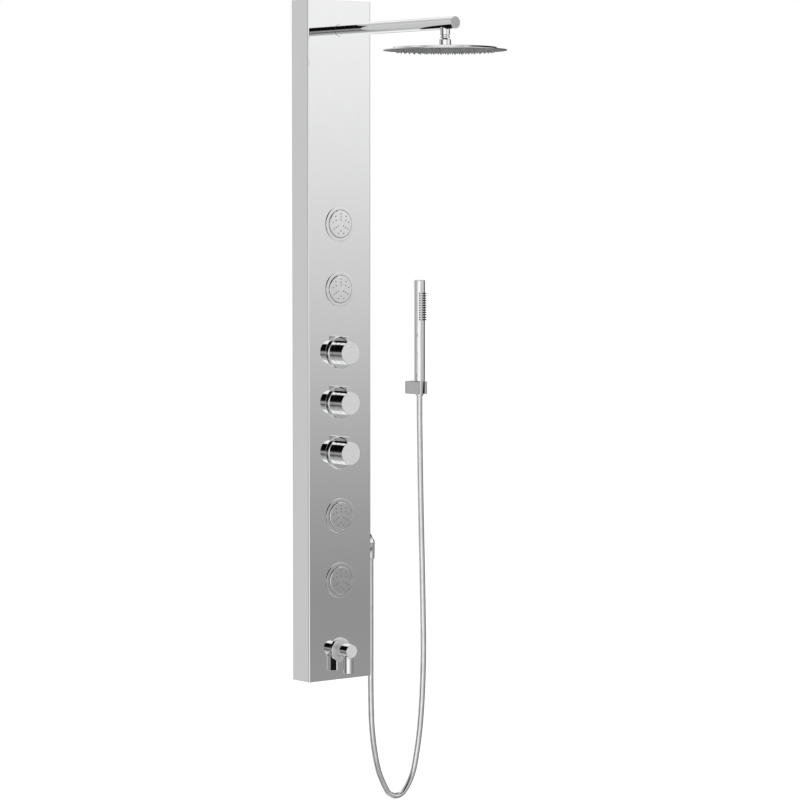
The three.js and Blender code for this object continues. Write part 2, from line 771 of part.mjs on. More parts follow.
function elbowBody() {
  const { radius, leg, bore, reach, tail } = elbow;
  const stub = turnedRight(disc(radius, -tail, reach));
  const corner = turnedZ([...sphereArc(radius, -radius, radius, 6)]).translate(reach, 0, 0);
  const down = turnedZ(disc(radius, -leg, 0)).translate(reach, 0, 0);
  const along = turnedRight(disc(bore, -tail - 1, reach), SMALL);
  const below = turnedZ(disc(bore, -leg - 1, 0), SMALL).translate(reach, 0, 0);
  const round = new THREE.SphereGeometry(bore, SMALL, COARSE).translate(reach, 0, 0);
  return cut(join(stub, corner, down), join(along, below, round));
}

const elbowFlangeProfile = easedRing(elbow.radius + GAP, elbow.flangeRadius, GAP, elbow.flangeHeight, 1.5);
add("elbow_flange", chrome, turnedRight(elbowFlangeProfile), panel.width / 2, elbowY, elbowZ);
add("elbow_body", chrome, elbowBody(), panel.width / 2, elbowY, elbowZ);
add("elbow_lock_nut", brass, turnedRight(lockNutRing(elbow.radius)),
  panel.width / 2 - insideFace, elbowY, elbowZ);

// ---------------------------------------------------------------- hand shower, holder and hose

const holderTop = panelTop - holder.drop;
const holderBottom = holderTop - holder.height;
const coneBottom = holderBottom - cone.below;

// radius of the hose's cone at a height, widest at the holder's top
function coneRadius(z) {
  const share = (holderTop - z) / (holderTop - coneBottom);
  return cone.topRadius + share * (cone.bottomRadius - cone.topRadius);
}

function holderBlock() {
  const half = holder.width / 2;
  const block = box([-half, half], [-holder.depth, 0], [holderBottom, holderTop]);
  const bore = turnedZ([
    [0, holderBottom - 1],
    [coneRadius(holderBottom - 1) + GAP, holderBottom - 1],
    [coneRadius(holderTop + 1) + GAP, holderTop + 1],
    [0, holderTop + 1],
  ]).translate(0, holder.axisY, 0);
  const slotHalf = holder.slot / 2;
  const slot = box([-slotHalf, slotHalf], [-holder.depth - 1, holder.axisY], [holderBottom - 1, holderTop + 1]);
  return cut(block, bore, slot);
}

function coneNut() {
  const top = holderTop;
  return turnedZ([
    [cone.bore, coneBottom],
    [coneRadius(coneBottom), coneBottom],
    [coneRadius(top), top],
    [cone.bore, top],
    [cone.bore, coneBottom],
  ]);
}

const handsetBottom = holderTop + GAP;
const handsetTop = handsetBottom + handset.length;
const windowTop = handsetTop - spray.firstDrop + spray.margin;
const windowBottom = windowTop - 2 * spray.margin - (spray.rows - 1) * spray.pitch;

// a curved bar of the given radii, centred on -Y
function arcBar(inner, outer, halfAngle, low, high) {
  const spread = (halfAngle * Math.PI) / 180;
  const middle = -Math.PI / 2;
  const shape = new THREE.Shape();
  shape.absarc(0, 0, outer, middle - spread, middle + spread, false);
  shape.absarc(0, 0, inner, middle + spread, middle - spread, true);
  return new THREE.ExtrudeGeometry(shape, { depth: high - low, bevelEnabled: false, curveSegments: 6 })
    .translate(0, 0, low);
}

function handsetBody() {
  const { radius, wall, floor } = handset;
  const inner = radius - wall;
  const tube = turnedZ([
    [cone.bore, handsetBottom],
    [radius - EASE, handsetBottom],
    [radius, handsetBottom + EASE],
    [radius, handsetTop - handset.cap - GAP],
    [inner, handsetTop - handset.cap - GAP],
    [inner, handsetBottom + floor],
    [cone.bore, handsetBottom + floor],
    [cone.bore, handsetBottom],
  ]);
  return cut(tube, arcBar(inner - 1, radius + 1, spray.half, windowBottom, windowTop));
}

function handsetCap() {
  const { radius, wall, cap, plug } = handset;
  const seatZ = handsetTop - cap;
  return turnedZ([
    [0, seatZ - plug],
    [radius - wall - GAP, seatZ - plug],
    [radius - wall - GAP, seatZ],
    [radius, seatZ],
    [radius, handsetTop - EASE],
    [radius - EASE, handsetTop],
    [0, handsetTop],
  ]);
}

// the soft insert that fills the window, with its columns of spray nozzles
function handsetNozzles() {
  const { radius, wall } = handset;
  const margin = GAP / 2;
  const insert = arcBar(radius - wall, radius, spray.half - 2, windowBottom + margin, windowTop - margin);
  const tip = turnedOut(disc(spray.radius, radius - 1, radius + spray.tip), TIP);
  const tips = [];
  for (let row = 0; row < spray.rows; row += 1) {
    for (let column = 0; column < spray.columns; column += 1) {
      const angle = THREE.MathUtils.degToRad((column - (spray.columns - 1) / 2) * spray.spread);
      const z = handsetTop - spray.firstDrop - row * spray.pitch;
      tips.push(tip.clone().rotateZ(angle).translate(0, 0, z));
    }
  }
  return join(insert, ...tips);
}

const atHolder = [holder.x, holder.axisY, 0];
add("holder_block", chrome, holderBlock(), holder.x, 0, 0);
add("handset_body", chrome, handsetBody(), ...atHolder);
add("handset_cap", chrome, handsetCap(), ...atHolder);
add("handset_nozzles", silicone, handsetNozzles(), ...atHolder);
add("hose_cone_nut", chrome, coneNut(), ...atHolder);

const elbowNutTop = elbowZ - elbow.leg - GAP;
const elbowNutProfile = ring(elbowNut.bore, elbowNut.radius, elbowNutTop - elbowNut.height, elbowNutTop);
add("hose_elbow_nut", chrome, turnedZ(elbowNutProfile), elbowX, elbowY, 0);
add("hose", hoseSkin, swept(hoseRoute, hose.radius, hose.sides, hose.steps));

export default group;
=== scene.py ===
"""Rainfall shower column: the fine meshes, materials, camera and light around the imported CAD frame.

The wall is the plane Y = 0, the panel faces -Y, +Z is up and X = 0 is the panel's centreline.
Sizes are millimetres and the mesh builders turn them into metres. Places come from the frame.
"""

import math

import bmesh
import bpy
from mathutils import Matrix, Vector


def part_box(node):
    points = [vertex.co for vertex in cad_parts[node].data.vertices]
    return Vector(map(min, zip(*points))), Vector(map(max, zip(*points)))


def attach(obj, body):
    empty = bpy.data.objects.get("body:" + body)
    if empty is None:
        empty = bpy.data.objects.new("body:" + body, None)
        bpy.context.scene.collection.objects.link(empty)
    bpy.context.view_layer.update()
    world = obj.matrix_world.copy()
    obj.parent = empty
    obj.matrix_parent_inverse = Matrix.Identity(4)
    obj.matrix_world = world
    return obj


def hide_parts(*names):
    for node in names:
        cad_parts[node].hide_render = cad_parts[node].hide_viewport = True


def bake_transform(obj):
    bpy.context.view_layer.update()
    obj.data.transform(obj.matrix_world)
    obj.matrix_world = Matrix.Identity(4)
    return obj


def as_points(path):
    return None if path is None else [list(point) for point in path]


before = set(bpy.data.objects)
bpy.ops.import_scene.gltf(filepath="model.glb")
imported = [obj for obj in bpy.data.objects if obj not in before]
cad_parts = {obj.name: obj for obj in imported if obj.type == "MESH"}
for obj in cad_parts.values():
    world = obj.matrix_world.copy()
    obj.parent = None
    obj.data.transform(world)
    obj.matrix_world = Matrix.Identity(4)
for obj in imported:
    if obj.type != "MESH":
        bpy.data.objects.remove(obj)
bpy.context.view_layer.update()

MM = 0.001
GAP = 0.3  # clearance between neighbouring pieces, as in the CAD
EASE = 0.6  # broken edge on turned pieces
FINE = 96  # segments of a visible turned piece
PLAIN = 48  # segments of a hidden turned piece
SHARP = math.radians(32)  # steeper edges than this are shaded as creases

# ---------------------------------------------------------------- camera

CAMERA_PLACE = (-4.2914, -5.6669, -0.2853)
CAMERA_YAW = math.radians(38.506)  # clockwise from +Y
CAMERA_PITCH = math.radians(-3.591)
CAMERA_LENS = 143.93

camera = bpy.data.objects.new("camera", bpy.data.cameras.new("camera"))
camera.data.sensor_width = 36
camera.data.lens = CAMERA_LENS
camera.location = CAMERA_PLACE
camera.rotation_euler = (math.pi / 2 + CAMERA_PITCH, 0, -CAMERA_YAW)
bpy.context.scene.collection.objects.link(camera)
bpy.context.scene.camera = camera
bpy.context.scene.view_settings.view_transform = "Standard"

# ---------------------------------------------------------------- shader helpers


class Nodes:
    """Short calls for building one node tree."""

    def __init__(self, tree):
        self.tree = tree
        tree.nodes.clear()

    def add(self, kind, settings=None, **inputs):
        node = self.tree.nodes.new(kind)
        for name, value in (settings or {}).items():
            setattr(node, name, value)
        for name, value in inputs.items():
            self.feed(node.inputs[name.replace("_", " ")], value)
        return node

    def feed(self, socket, value):
        if isinstance(value, bpy.types.NodeSocket):
            self.tree.links.new(value, socket)
        else:
            socket.default_value = value

    def math(self, operation, a, b=0.0, clamp=False):
        node = self.tree.nodes.new("ShaderNodeMath")
        node.operation = operation
        node.use_clamp = clamp
        self.feed(node.inputs[0], a)
        self.feed(node.inputs[1], b)
        return node.outputs[0]

    def spread(self, value, low, high, to_low, to_high, smooth=False):
        """value from low..high mapped to to_low..to_high."""
        kind = "SMOOTHSTEP" if smooth else "LINEAR"
        node = self.add("ShaderNodeMapRange", {"interpolation_type": kind})
        for place, item in enumerate((value, low, high, to_low, to_high)):
            self.feed(node.inputs[place], item)
        return node.outputs[0]

    def blend(self, factor, a, b):
        node = self.add("ShaderNodeMix", {"data_type": "RGBA"})
        self.feed(node.inputs[0], factor)
        self.feed(node.inputs[6], a)
        self.feed(node.inputs[7], b)
        return node.outputs[2]

    def ramp(self, factor, stops, interpolation="LINEAR"):
        """stops are (place 0..1, colour), a colour being a linear grey or an RGB triple."""
        node = self.add("ShaderNodeValToRGB")
        node.color_ramp.interpolation = interpolation
        elements = node.color_ramp.elements
        while len(elements) > 1:
            elements.remove(elements[-1])
        for number, (place, colour) in enumerate(sorted(stops, key=lambda stop: stop[0])):
            element = elements[0] if number == 0 else elements.new(place)
            element.position = place
            rgb = (colour,) * 3 if isinstance(colour, (int, float)) else colour
            element.color = (*rgb, 1)
        self.feed(node.inputs[0], factor)
        return node.outputs[0]

    def noise(self, vector, scale, detail=3.0, roughness=0.55):
        settings = {"Scale": scale, "Detail": detail, "Roughness": roughness}
        return self.add("ShaderNodeTexNoise", Vector=vector, **settings).outputs[0]


def linear(grey):
    """Linear light of an sRGB grey from 0 to 255."""
    value = grey / 255
    return value / 12.92 if value <= 0.04045 else ((value + 0.055) / 1.055) ** 2.4


# ---------------------------------------------------------------- studio light

REFLECTED = 0.93  # share of light that the mirror steel returns
# surroundings seen in the metal, as (degrees from -Y towards +X, grey): level, high and low
LEVEL_LIGHT = [
    (-180, 205), (-160, 200), (-141, 197), (-127, 165), (-114, 92), (-94, 92), (-83, 170), (-70, 245),
    (-30, 252), (-15, 218), (0, 186), (20, 195), (38, 205), (55, 172), (70, 100), (90, 66), (122, 66),
    (141, 110), (152, 185), (168, 225), (180, 205),
]
HIGH_LIGHT = [
    (-180, 205), (-158, 186), (-140, 225), (-112, 120), (-90, 60), (-40, 50), (0, 55), (25, 80), (40, 215),
    (60, 120), (90, 40), (115, 60), (138, 150), (148, 246), (166, 250), (180, 205),
]
LOW_LIGHT = [
    (-180, 225), (-158, 185), (-140, 190), (-110, 150), (-90, 120), (-40, 172), (0, 172), (40, 165),
    (70, 110), (90, 88), (120, 100), (138, 140), (150, 250), (168, 250), (180, 225),
]
# the panel's own view of the room, as (degrees above the horizon, grey)
PANEL_LIGHT = [
    (-40, 170), (-25, 172), (-12, 158), (-8.45, 147), (-7.2, 143), (-5.45, 157), (-4.55, 168), (-3.65, 179),
    (-1.84, 200), (0, 217), (0.9, 225), (1.8, 231), (2.9, 237), (3.6, 240), (8, 244), (40, 246),
]
# what metal shows of metal: striped on the left, as (degrees above the horizon, grey), pale on the right
SECOND_LIGHT = [
    (-90, 200), (-38, 188), (-26, 150), (-18, 92), (-13, 92), (-10, 150), (1.5, 150), (5, 60), (12, 10),
    (90, 5),
]
SECOND_RIGHT = 244
SECOND_EDGE = (-8, 4)  # degrees from -Y towards +X over which the stripes turn pale
DEEP_LIGHT = 26  # what is left after one more bounce
# where one part gives way to the next, in degrees: round from -Y towards +X for the panel's own view, and
# above the horizon for the others
PANEL_FROM = (6, 22)
PANEL_TO = (50, 68)
HIGH_FROM = (10, 30)
LOW_FROM = (-12, -32)
CEILING_FROM = (55, 75)
GROUND_FROM = (-60, -80)
CEILING = (0.9, 0.9, 0.9, 1)
GROUND = (0.62, 0.62, 0.62, 1)
FLOOR_LEVEL = -1.95  # metres, under the hose
FLOOR_REACH = 40


def shown(grey):
    """Light that the mirror steel shows as an sRGB grey."""
    return linear(grey) / REFLECTED


def build_world():
    world = bpy.data.worlds.new("studio")
    bpy.context.scene.world = world
    world.use_nodes = True
    n = Nodes(world.node_tree)
    direction = n.add("ShaderNodeTexCoord").outputs["Generated"]
    parts = n.add("ShaderNodeSeparateXYZ", Vector=direction).outputs
    around = n.math("ARCTAN2", parts[0], n.math("MULTIPLY", parts[1], -1.0))
    turn = n.spread(around, -math.pi, math.pi, 0.0, 1.0)
    height = n.math("MULTIPLY", n.math("ARCSINE", parts[2]), 180 / math.pi)

    degrees = n.math("MULTIPLY", around, 180 / math.pi)
    path = n.add("ShaderNodeLightPath").outputs

    def ring(table):
        return n.ramp(turn, [((angle + 180) / 360, shown(grey)) for angle, grey in table], "EASE")

    def column(table):
        share = n.spread(height, -90.0, 90.0, 0.0, 1.0)
        return n.ramp(share, [((angle + 90) / 180, shown(grey)) for angle, grey in table])

    def over(value, limits, low=0, high=1):
        return n.spread(value, *limits, low, high, True)

    def bounced(times):
        deep = n.math("GREATER_THAN", path["Ray Depth"], times + 0.5)
        return n.math("MULTIPLY", deep, path["Is Glossy Ray"])

    def plain(grey):
        return (*(shown(grey),) * 3, 1)

    to_right = n.math("MULTIPLY", over(degrees, PANEL_FROM), over(degrees, PANEL_TO, 1, 0))
    level = n.blend(to_right, ring(LEVEL_LIGHT), column(PANEL_LIGHT))
    upper = n.blend(over(height, HIGH_FROM), level, ring(HIGH_LIGHT))
    both = n.blend(over(height, LOW_FROM), upper, ring(LOW_LIGHT))
    topped = n.blend(over(height, CEILING_FROM), both, CEILING)
    direct = n.blend(over(height, GROUND_FROM), topped, GROUND)
    second = n.blend(over(degrees, SECOND_EDGE), column(SECOND_LIGHT), plain(SECOND_RIGHT))
    again = n.blend(bounced(3), second, plain(DEEP_LIGHT))
    seen = n.blend(bounced(2), direct, again)
    colour = n.blend(path["Is Camera Ray"], seen, (1, 1, 1, 1))
    background = n.add("ShaderNodeBackground", Color=colour)
    output = n.add("ShaderNodeOutputWorld")
    n.tree.links.new(background.outputs[0], output.inputs[0])


def build_stage():
    """A plain white floor under the hose, and one broad soft light."""
    floor_mesh = bpy.data.meshes.new("floor")
    signs = ((-1, -1), (1, -1), (1, 1), (-1, 1))
    corners = [(x * FLOOR_REACH, y * FLOOR_REACH, FLOOR_LEVEL) for x, y in signs]
    floor_mesh.from_pydata(corners, [], [(0, 1, 2, 3)])
    floor = bpy.data.objects.new("floor", floor_mesh)
    bpy.context.scene.collection.objects.link(floor)
    floor.visible_glossy = False
    material = bpy.data.materials.new("pale_floor")
    material.use_nodes = True
    n = Nodes(material.node_tree)
    matt = n.add("ShaderNodeBsdfDiffuse", Color=(0.85, 0.85, 0.85, 1))
    glow = n.add("ShaderNodeEmission", Color=(1, 1, 1, 1), Strength=0.7)
    both = n.add("ShaderNodeAddShader")
    n.tree.links.new(matt.outputs[0], both.inputs[0])
    n.tree.links.new(glow.outputs[0], both.inputs[1])
    n.tree.links.new(both.outputs[0], n.add("ShaderNodeOutputMaterial").inputs[0])
    floor_mesh.materials.append(material)
    lamp = bpy.data.objects.new("soft_light", bpy.data.lights.new("soft_light", "AREA"))
    lamp.data.size = 3
    lamp.data.energy = 60
    lamp.location = (-2.0, -3.0, 2.2)
    lamp.rotation_euler = (math.radians(52), 0, math.radians(-34))
    lamp.visible_glossy = False
    lamp.visible_camera = False
    bpy.context.scene.collection.objects.link(lamp)


build_world()
build_stage()

# ---------------------------------------------------------------- materials

UNEVEN = 0.00001  # metres, the waviness of polished metal
LATHE_RATE = 9000.0  # radians of the turning marks' wave to a metre
BRAID_STRANDS = 10
BRAID_RATE = 1900.0
WINDING_PITCH = 0.0021  # metres between the hose's silver turns


def shader(name, build, **fixed):
    """A Principled material: build(nodes) returns the linked inputs, fixed are its plain ones."""
    material = bpy.data.materials.new(name)
    material.use_nodes = True
    n = Nodes(material.node_tree)
    surface = n.add("ShaderNodeBsdfPrincipled")
    for socket, value in {**fixed, **build(n)}.items():
        n.feed(surface.inputs[socket.replace("_", " ")], value)
    n.tree.links.new(surface.outputs[0], n.add("ShaderNodeOutputMaterial").inputs[0])
    return material


def place(n):
    return n.add("ShaderNodeTexCoord").outputs["Object"]


def stretched(n, x, y, z):
    return n.add("ShaderNodeMapping", Vector=place(n), Scale=(x, y, z)).outputs[0]


def bump(n, height, distance, strength=1.0):
    return n.add("ShaderNodeBump", Height=height, Distance=distance, Strength=strength).outputs[0]


def tinted(n, factor, dark, light):
    return n.ramp(factor, [(0.3, dark), (0.7, light)])


def polished(dark, light, rough_low, rough_high):
    """Polished metal: faint wipe marks in the gloss, a breath of tint and a barely uneven surface."""
    def build(n):
        wiped = n.noise(stretched(n, 9, 9, 2.5), 6.0, 5.0, 0.6)
        fine = n.noise(place(n), 420.0, 2.0)
        marks = n.math("ADD", n.math("MULTIPLY", wiped, 0.7), n.math("MULTIPLY", fine, 0.3))
        uneven = n.noise(place(n), 4.0, 1.0)
        return {
            "Base Color": tinted(n, wiped, dark, light),
            "Roughness": n.spread(marks, 0.35, 0.65, rough_low, rough_high),
            "Normal": bump(n, uneven, UNEVEN),
        }
    return build


def turned_face(tint):
    """Fine rings left by the lathe on a satin end face, from the mesh's own radius in V."""
    def build(n):
        across = n.add("ShaderNodeSeparateXYZ", Vector=n.add("ShaderNodeUVMap").outputs[0]).outputs[1]
        rings = n.math("SINE", n.math("MULTIPLY", across, LATHE_RATE))
        mottle = n.noise(place(n), 90.0, 3.0)
        return {
            "Base Color": tinted(n, mottle, (tint, tint, tint), (tint + 0.04,) * 3),
            "Roughness": n.spread(mottle, 0.3, 0.7, 0.44, 0.50),
            "Normal": bump(n, rings, 0.000002),
        }
    return build


def zinc(n):
    flakes = n.add("ShaderNodeTexVoronoi", Vector=place(n), Scale=160.0)
    shade = n.add("ShaderNodeSeparateColor", Color=flakes.outputs["Color"]).outputs[0]
    return {
        "Base Color": tinted(n, shade, (0.50, 0.52, 0.54), (0.68, 0.70, 0.72)),
        "Roughness": n.spread(shade, 0, 1, 0.34, 0.52),
        "Normal": bump(n, flakes.outputs["Distance"], 0.00004),
    }


def cast_brass(n):
    stain = n.noise(place(n), 38.0, 5.0, 0.6)
    grain = n.noise(place(n), 700.0, 2.0)
    return {
        "Base Color": tinted(n, stain, (0.47, 0.31, 0.13), (0.70, 0.50, 0.25)),
        "Roughness": n.spread(stain, 0.3, 0.7, 0.26, 0.42),
        "Normal": bump(n, grain, 0.00004),
    }


def woven_steel(n):
    """Wire braid: two sets of strands that cross, from the tube's own UV, with painted shade in the gaps."""
    parts = n.add("ShaderNodeSeparateXYZ", Vector=n.add("ShaderNodeUVMap").outputs[0]).outputs
    around = n.math("MULTIPLY", parts[0], 2 * math.pi * BRAID_STRANDS)
    along = n.math("MULTIPLY", parts[1], BRAID_RATE)
    one = n.math("SINE", n.math("ADD", around, along))
    other = n.math("SINE", n.math("SUBTRACT", around, along))
    weave = n.math("MAXIMUM", one, other)
    return {
        # the colour falls to near black in the gaps between strands: painted shade
        "Base Color": n.ramp(n.spread(weave, -1, 1, 0, 1), [(0.25, 0.05), (0.8, 0.55)]),
        "Roughness": n.spread(weave, -1, 1, 0.6, 0.32),
        "Normal": bump(n, weave, 0.0003),
    }


def moulded(dark, light, rough_low, rough_high, grain_scale, grain_depth):
    def build(n):
        cloud = n.noise(place(n), 30.0, 3.0)
        grain = n.noise(place(n), grain_scale, 3.0)
        return {
            "Base Color": tinted(n, cloud, dark, light),
            "Roughness": n.spread(grain, 0.3, 0.7, rough_low, rough_high),
            "Normal": bump(n, grain, grain_depth),
        }
    return build


def hose_surface(n):
    """Clear skin over a close silver winding, which shows as faint helical lines."""
    parts = n.add("ShaderNodeSeparateXYZ", Vector=n.add("ShaderNodeUVMap").outputs[0]).outputs
    around = n.math("MULTIPLY", parts[0], 2 * math.pi)
    along = n.math("MULTIPLY", parts[1], 2 * math.pi / WINDING_PITCH)
    winding = n.math("SINE", n.math("ADD", along, around))
    cloud = n.noise(place(n), 60.0, 3.0)
    shade = n.math("ADD", n.math("MULTIPLY", winding, 0.12), cloud)
    return {
        "Base Color": tinted(n, shade, (0.76, 0.77, 0.78), (0.88, 0.885, 0.89)),
        "Roughness": n.spread(cloud, 0.3, 0.7, 0.06, 0.1),
        "Normal": bump(n, winding, 0.000012),
    }


# what each surface is made of, and how metallic it is
SURFACES = {
    "mirror_steel": (polished((0.915, 0.918, 0.92), (0.93, 0.932, 0.935), 0.012, 0.03), 1.0),
    "chrome": (polished((0.90, 0.905, 0.91), (0.94, 0.942, 0.945), 0.025, 0.055), 1.0),
    "satin_face": (turned_face(0.76), 0.4),
    "arm_face": (turned_face(0.5), 0.4),
    "dull_chrome": (polished((0.62, 0.624, 0.628), (0.68, 0.684, 0.688), 0.05, 0.09), 1.0),
    "galvanised": (zinc, 0.9),
    "brass": (cast_brass, 1.0),
    "braid": (woven_steel, 0.85),
    "white_plastic": (moulded((0.72, 0.72, 0.70), (0.79, 0.79, 0.77), 0.42, 0.55, 900.0, 0.00003), 0.0),
    "grey_plastic": (moulded((0.13, 0.135, 0.14), (0.17, 0.175, 0.18), 0.4, 0.55, 900.0, 0.00003), 0.0),
    "silicone": (moulded((0.018, 0.018, 0.019), (0.032, 0.033, 0.034), 0.55, 0.7, 1400.0, 0.00002), 0.0),
    "nozzle_grey": (moulded((0.16, 0.163, 0.168), (0.24, 0.243, 0.248), 0.45, 0.6, 1400.0, 0.00002), 0.0),
}
MATERIALS = {name: shader(name, build, Metallic=share) for name, (build, share) in SURFACES.items()}
MATERIALS["hose_skin"] = shader("hose_skin", hose_surface, Metallic=0.97, Coat_Weight=0.5,
                                Coat_Roughness=0.08)

# ---------------------------------------------------------------- mesh builders

UP = Matrix.Identity(4)
OUT = Matrix.Rotation(math.pi / 2, 4, "X")  # local Z runs out into the room, -Y
RIGHT = Matrix.Rotation(math.pi / 2, 4, "Y")  # local Z runs to the right, +X
ARC_STEPS = 4


def at(axes, x=0.0, y=0.0, z=0.0):
    """Local axes placed at a point given in millimetres."""
    return Matrix.Translation((x, y, z)) @ axes


def rounded(points, loop=False):
    """The outline with arcs at the points that carry a third value, the fillet radius there."""
    made = []
    count = len(points)
    for number, point in enumerate(points):
        inside = loop or 0 < number < count - 1
        if len(point) < 3 or not inside:
            made.append((point[0], point[1]))
            continue
        before, corner, after = (Vector(points[(number + step) % count][:2]) for step in (-1, 0, 1))
        u, v = before - corner, after - corner
        half = u.angle(v) / 2
        reach = min(point[2] / math.tan(half), 0.48 * u.length, 0.48 * v.length)
        radius = reach * math.tan(half)
        centre = corner + (u.normalized() + v.normalized()).normalized() * (radius / math.sin(half))
        start = corner + u.normalized() * reach - centre
        sweep = math.pi - 2 * half
        turn = start.angle_signed(corner + v.normalized() * reach - centre)
        direction = -1 if turn > 0 else 1
        first = math.atan2(start.y, start.x)
        for step in range(ARC_STEPS + 1):
            angle = first + direction * sweep * step / ARC_STEPS
            made.append((centre.x + radius * math.cos(angle), centre.y + radius * math.sin(angle)))
    return made


def arc(radius, low, high, steps=10):
    """Points of a ball's outline between two heights."""
    start, end = math.asin(low / radius), math.asin(high / radius)
    angles = [start + (end - start) * step / steps for step in range(steps + 1)]
    return [(radius * math.cos(angle), radius * math.sin(angle)) for angle in angles]


def circle(count, radius, first=0.0):
    """Evenly spaced (x, y) points on a circle, starting at an angle."""
    angles = [first + 2 * math.pi * step / count for step in range(count)]
    return [(radius * math.cos(angle), radius * math.sin(angle)) for angle in angles]


def turn_into(bm, outline, axes, segments=FINE, loop=False, radius_at=None):
    """Adds a turned solid. radius_at(angle, radius, height) may change the section round the axis."""
    outline = rounded(outline, loop)
    uv = bm.loops.layers.uv.verify()
    rings = []
    for radius, height in outline:
        if radius < 1e-6:
            rings.append([bm.verts.new(axes @ Vector((0, 0, height)) * MM)])
            continue
        ring = []
        for step in range(segments):
            angle = 2 * math.pi * step / segments
            r, h = radius_at(angle, radius, height) if radius_at else (radius, height)
            ring.append(bm.verts.new(axes @ Vector((r * math.cos(angle), r * math.sin(angle), h)) * MM))
        rings.append(ring)
    travelled = [0.0]
    for a, b in zip(outline, outline[1:] + outline[:1]):
        travelled.append(travelled[-1] + math.dist(a, b) * MM)
    for band in range(len(outline) if loop else len(outline) - 1):
        low, high = rings[band], rings[(band + 1) % len(outline)]
        if len(low) == 1 and len(high) == 1:
            continue
        for step in range(segments):
            after = (step + 1) % segments
            corners = [(low[step % len(low)], step, band), (low[after % len(low)], step + 1, band),
                       (high[after % len(high)], step + 1, band + 1),
                       (high[step % len(high)], step, band + 1)]
            kept = []
            for corner in corners:
                if corner[0] not in [other[0] for other in kept]:
                    kept.append(corner)
            face = bm.faces.new([corner[0] for corner in kept])
            for loop_corner, corner in zip(face.loops, kept):
                loop_corner[uv].uv = (corner[1] / segments, travelled[corner[2]])


def prism_into(bm, outline, axes, low, high):
    """Adds a straight solid with the given outline, from low to high along the local Z."""
    outline = rounded(outline, loop=True)
    uv = bm.loops.layers.uv.verify()
    levels = [[bm.verts.new(axes @ Vector((x, y, z)) * MM) for x, y in outline] for z in (low, high)]
    count = len(outline)
    faces = [bm.faces.new(levels[0][::-1]), bm.faces.new(levels[1])]
    for step in range(count):
        after = (step + 1) % count
        faces.append(bm.faces.new([levels[0][step], levels[0][after], levels[1][after], levels[1][step]]))
    for face in faces:
        for corner in face.loops:
            corner[uv].uv = (corner.vert.co.x, corner.vert.co.z)


def block(x, y, *fillet):
    """A rectangle's outline, with a fillet radius at its corners if one is given."""
    return [(x[0], y[0], *fillet), (x[1], y[0], *fillet), (x[1], y[1], *fillet), (x[0], y[1], *fillet)]


def spline(points, spacing):
    """Closely spaced points of a smooth curve through the given ones, in metres."""
    knots = [Vector(point) for point in points]
    ends = [2 * knots[0] - knots[1], *knots, 2 * knots[-1] - knots[-2]]
    made = []
    for a, b, c, d in zip(ends, ends[1:], ends[2:], ends[3:]):
        before, here, after = (math.sqrt((q - p).length) for p, q in ((a, b), (b, c), (c, d)))
        leave = ((b - a) / before - (c - a) / (before + here) + (c - b) / here) * here
        arrive = ((c - b) / here - (d - b) / (here + after) + (d - c) / after) * here
        steps = max(2, round((c - b).length / spacing))
        for step in range(steps):
            t = step / steps
            made.append((2 * t ** 3 - 3 * t ** 2 + 1) * b + (t ** 3 - 2 * t ** 2 + t) * leave
                        + (3 * t ** 2 - 2 * t ** 3) * c + (t ** 3 - t ** 2) * arrive)
    return [*made, knots[-1]]


def tube_into(bm, path, radius, sides, bore=0.0):
    """Adds a tube along closely spaced points. Sizes and points are metres. A bore makes it hollow."""
    uv = bm.loops.layers.uv.verify()
    count = len(path)
    angles = [2 * math.pi * side / sides for side in range(sides)]
    tangents = [(path[min(i + 1, count - 1)] - path[max(i - 1, 0)]).normalized() for i in range(count)]
    across = tangents[0].orthogonal().normalized()
    travelled = 0.0
    skins = [[], []]
    lengths = []
    for number, (point, tangent) in enumerate(zip(path, tangents)):
        if number:
            across = (tangents[number - 1].rotation_difference(tangent) @ across).normalized()
            travelled += (point - path[number - 1]).length
        lengths.append(travelled)
        other = tangent.cross(across)
        for skin, size in zip(skins, (radius, bore)):
            if size <= 0:
                continue
            spokes = [across * math.cos(angle) + other * math.sin(angle) for angle in angles]
            skin.append([bm.verts.new(point + size * spoke) for spoke in spokes])
    for skin, outward in zip(skins, (True, False)):
        for ring in range(len(skin) - 1):
            for side in range(sides):
                after = (side + 1) % sides
                corners = [(ring, side, side), (ring, after, side + 1),
                           (ring + 1, after, side + 1), (ring + 1, side, side)]
                corners = corners if outward else corners[::-1]
                face = bm.faces.new([skin[r][s] for r, s, _ in corners])
                for corner, (r, _, place_round) in zip(face.loops, corners):
                    corner[uv].uv = (place_round / sides, lengths[r])
    for end in (0, -1):
        outer = skins[0][end]
        if not skins[1]:
            bm.faces.new(outer[::-1] if end == 0 else outer)
            continue
        inner = skins[1][end]
        for side in range(sides):
            after = (side + 1) % sides
            ring = [outer[after], outer[side], inner[side], inner[after]]
            bm.faces.new(ring if end == 0 else ring[::-1])


def object_from(name, bm, crease=SHARP):
    """Turns the mesh into a linked object: faces out, creases by angle, flats kept flat."""
    bmesh.ops.recalc_face_normals(bm, faces=bm.faces)
    mesh = bpy.data.meshes.new(name)
    bm.to_mesh(mesh)
    bm.free()
    made = bpy.data.objects.new(name, mesh)
    bpy.context.scene.collection.objects.link(made)
    shade(made, crease)
    return made


def shade(obj, crease=SHARP):
    for face in obj.data.polygons:
        face.use_smooth = True
    obj.data.set_sharp_from_angle(angle=crease)
    if "flats" not in obj.modifiers:
        flats = obj.modifiers.new("flats", "WEIGHTED_NORMAL")
        flats.keep_sharp = True


def apply_modifiers(obj):
    """Makes the modified mesh the object's own."""
    bpy.context.view_layer.update()
    evaluated = obj.evaluated_get(bpy.context.evaluated_depsgraph_get())
    made = bpy.data.meshes.new_from_object(evaluated)
    old = obj.data
    obj.modifiers.clear()
    obj.data = made
    bpy.data.meshes.remove(old)


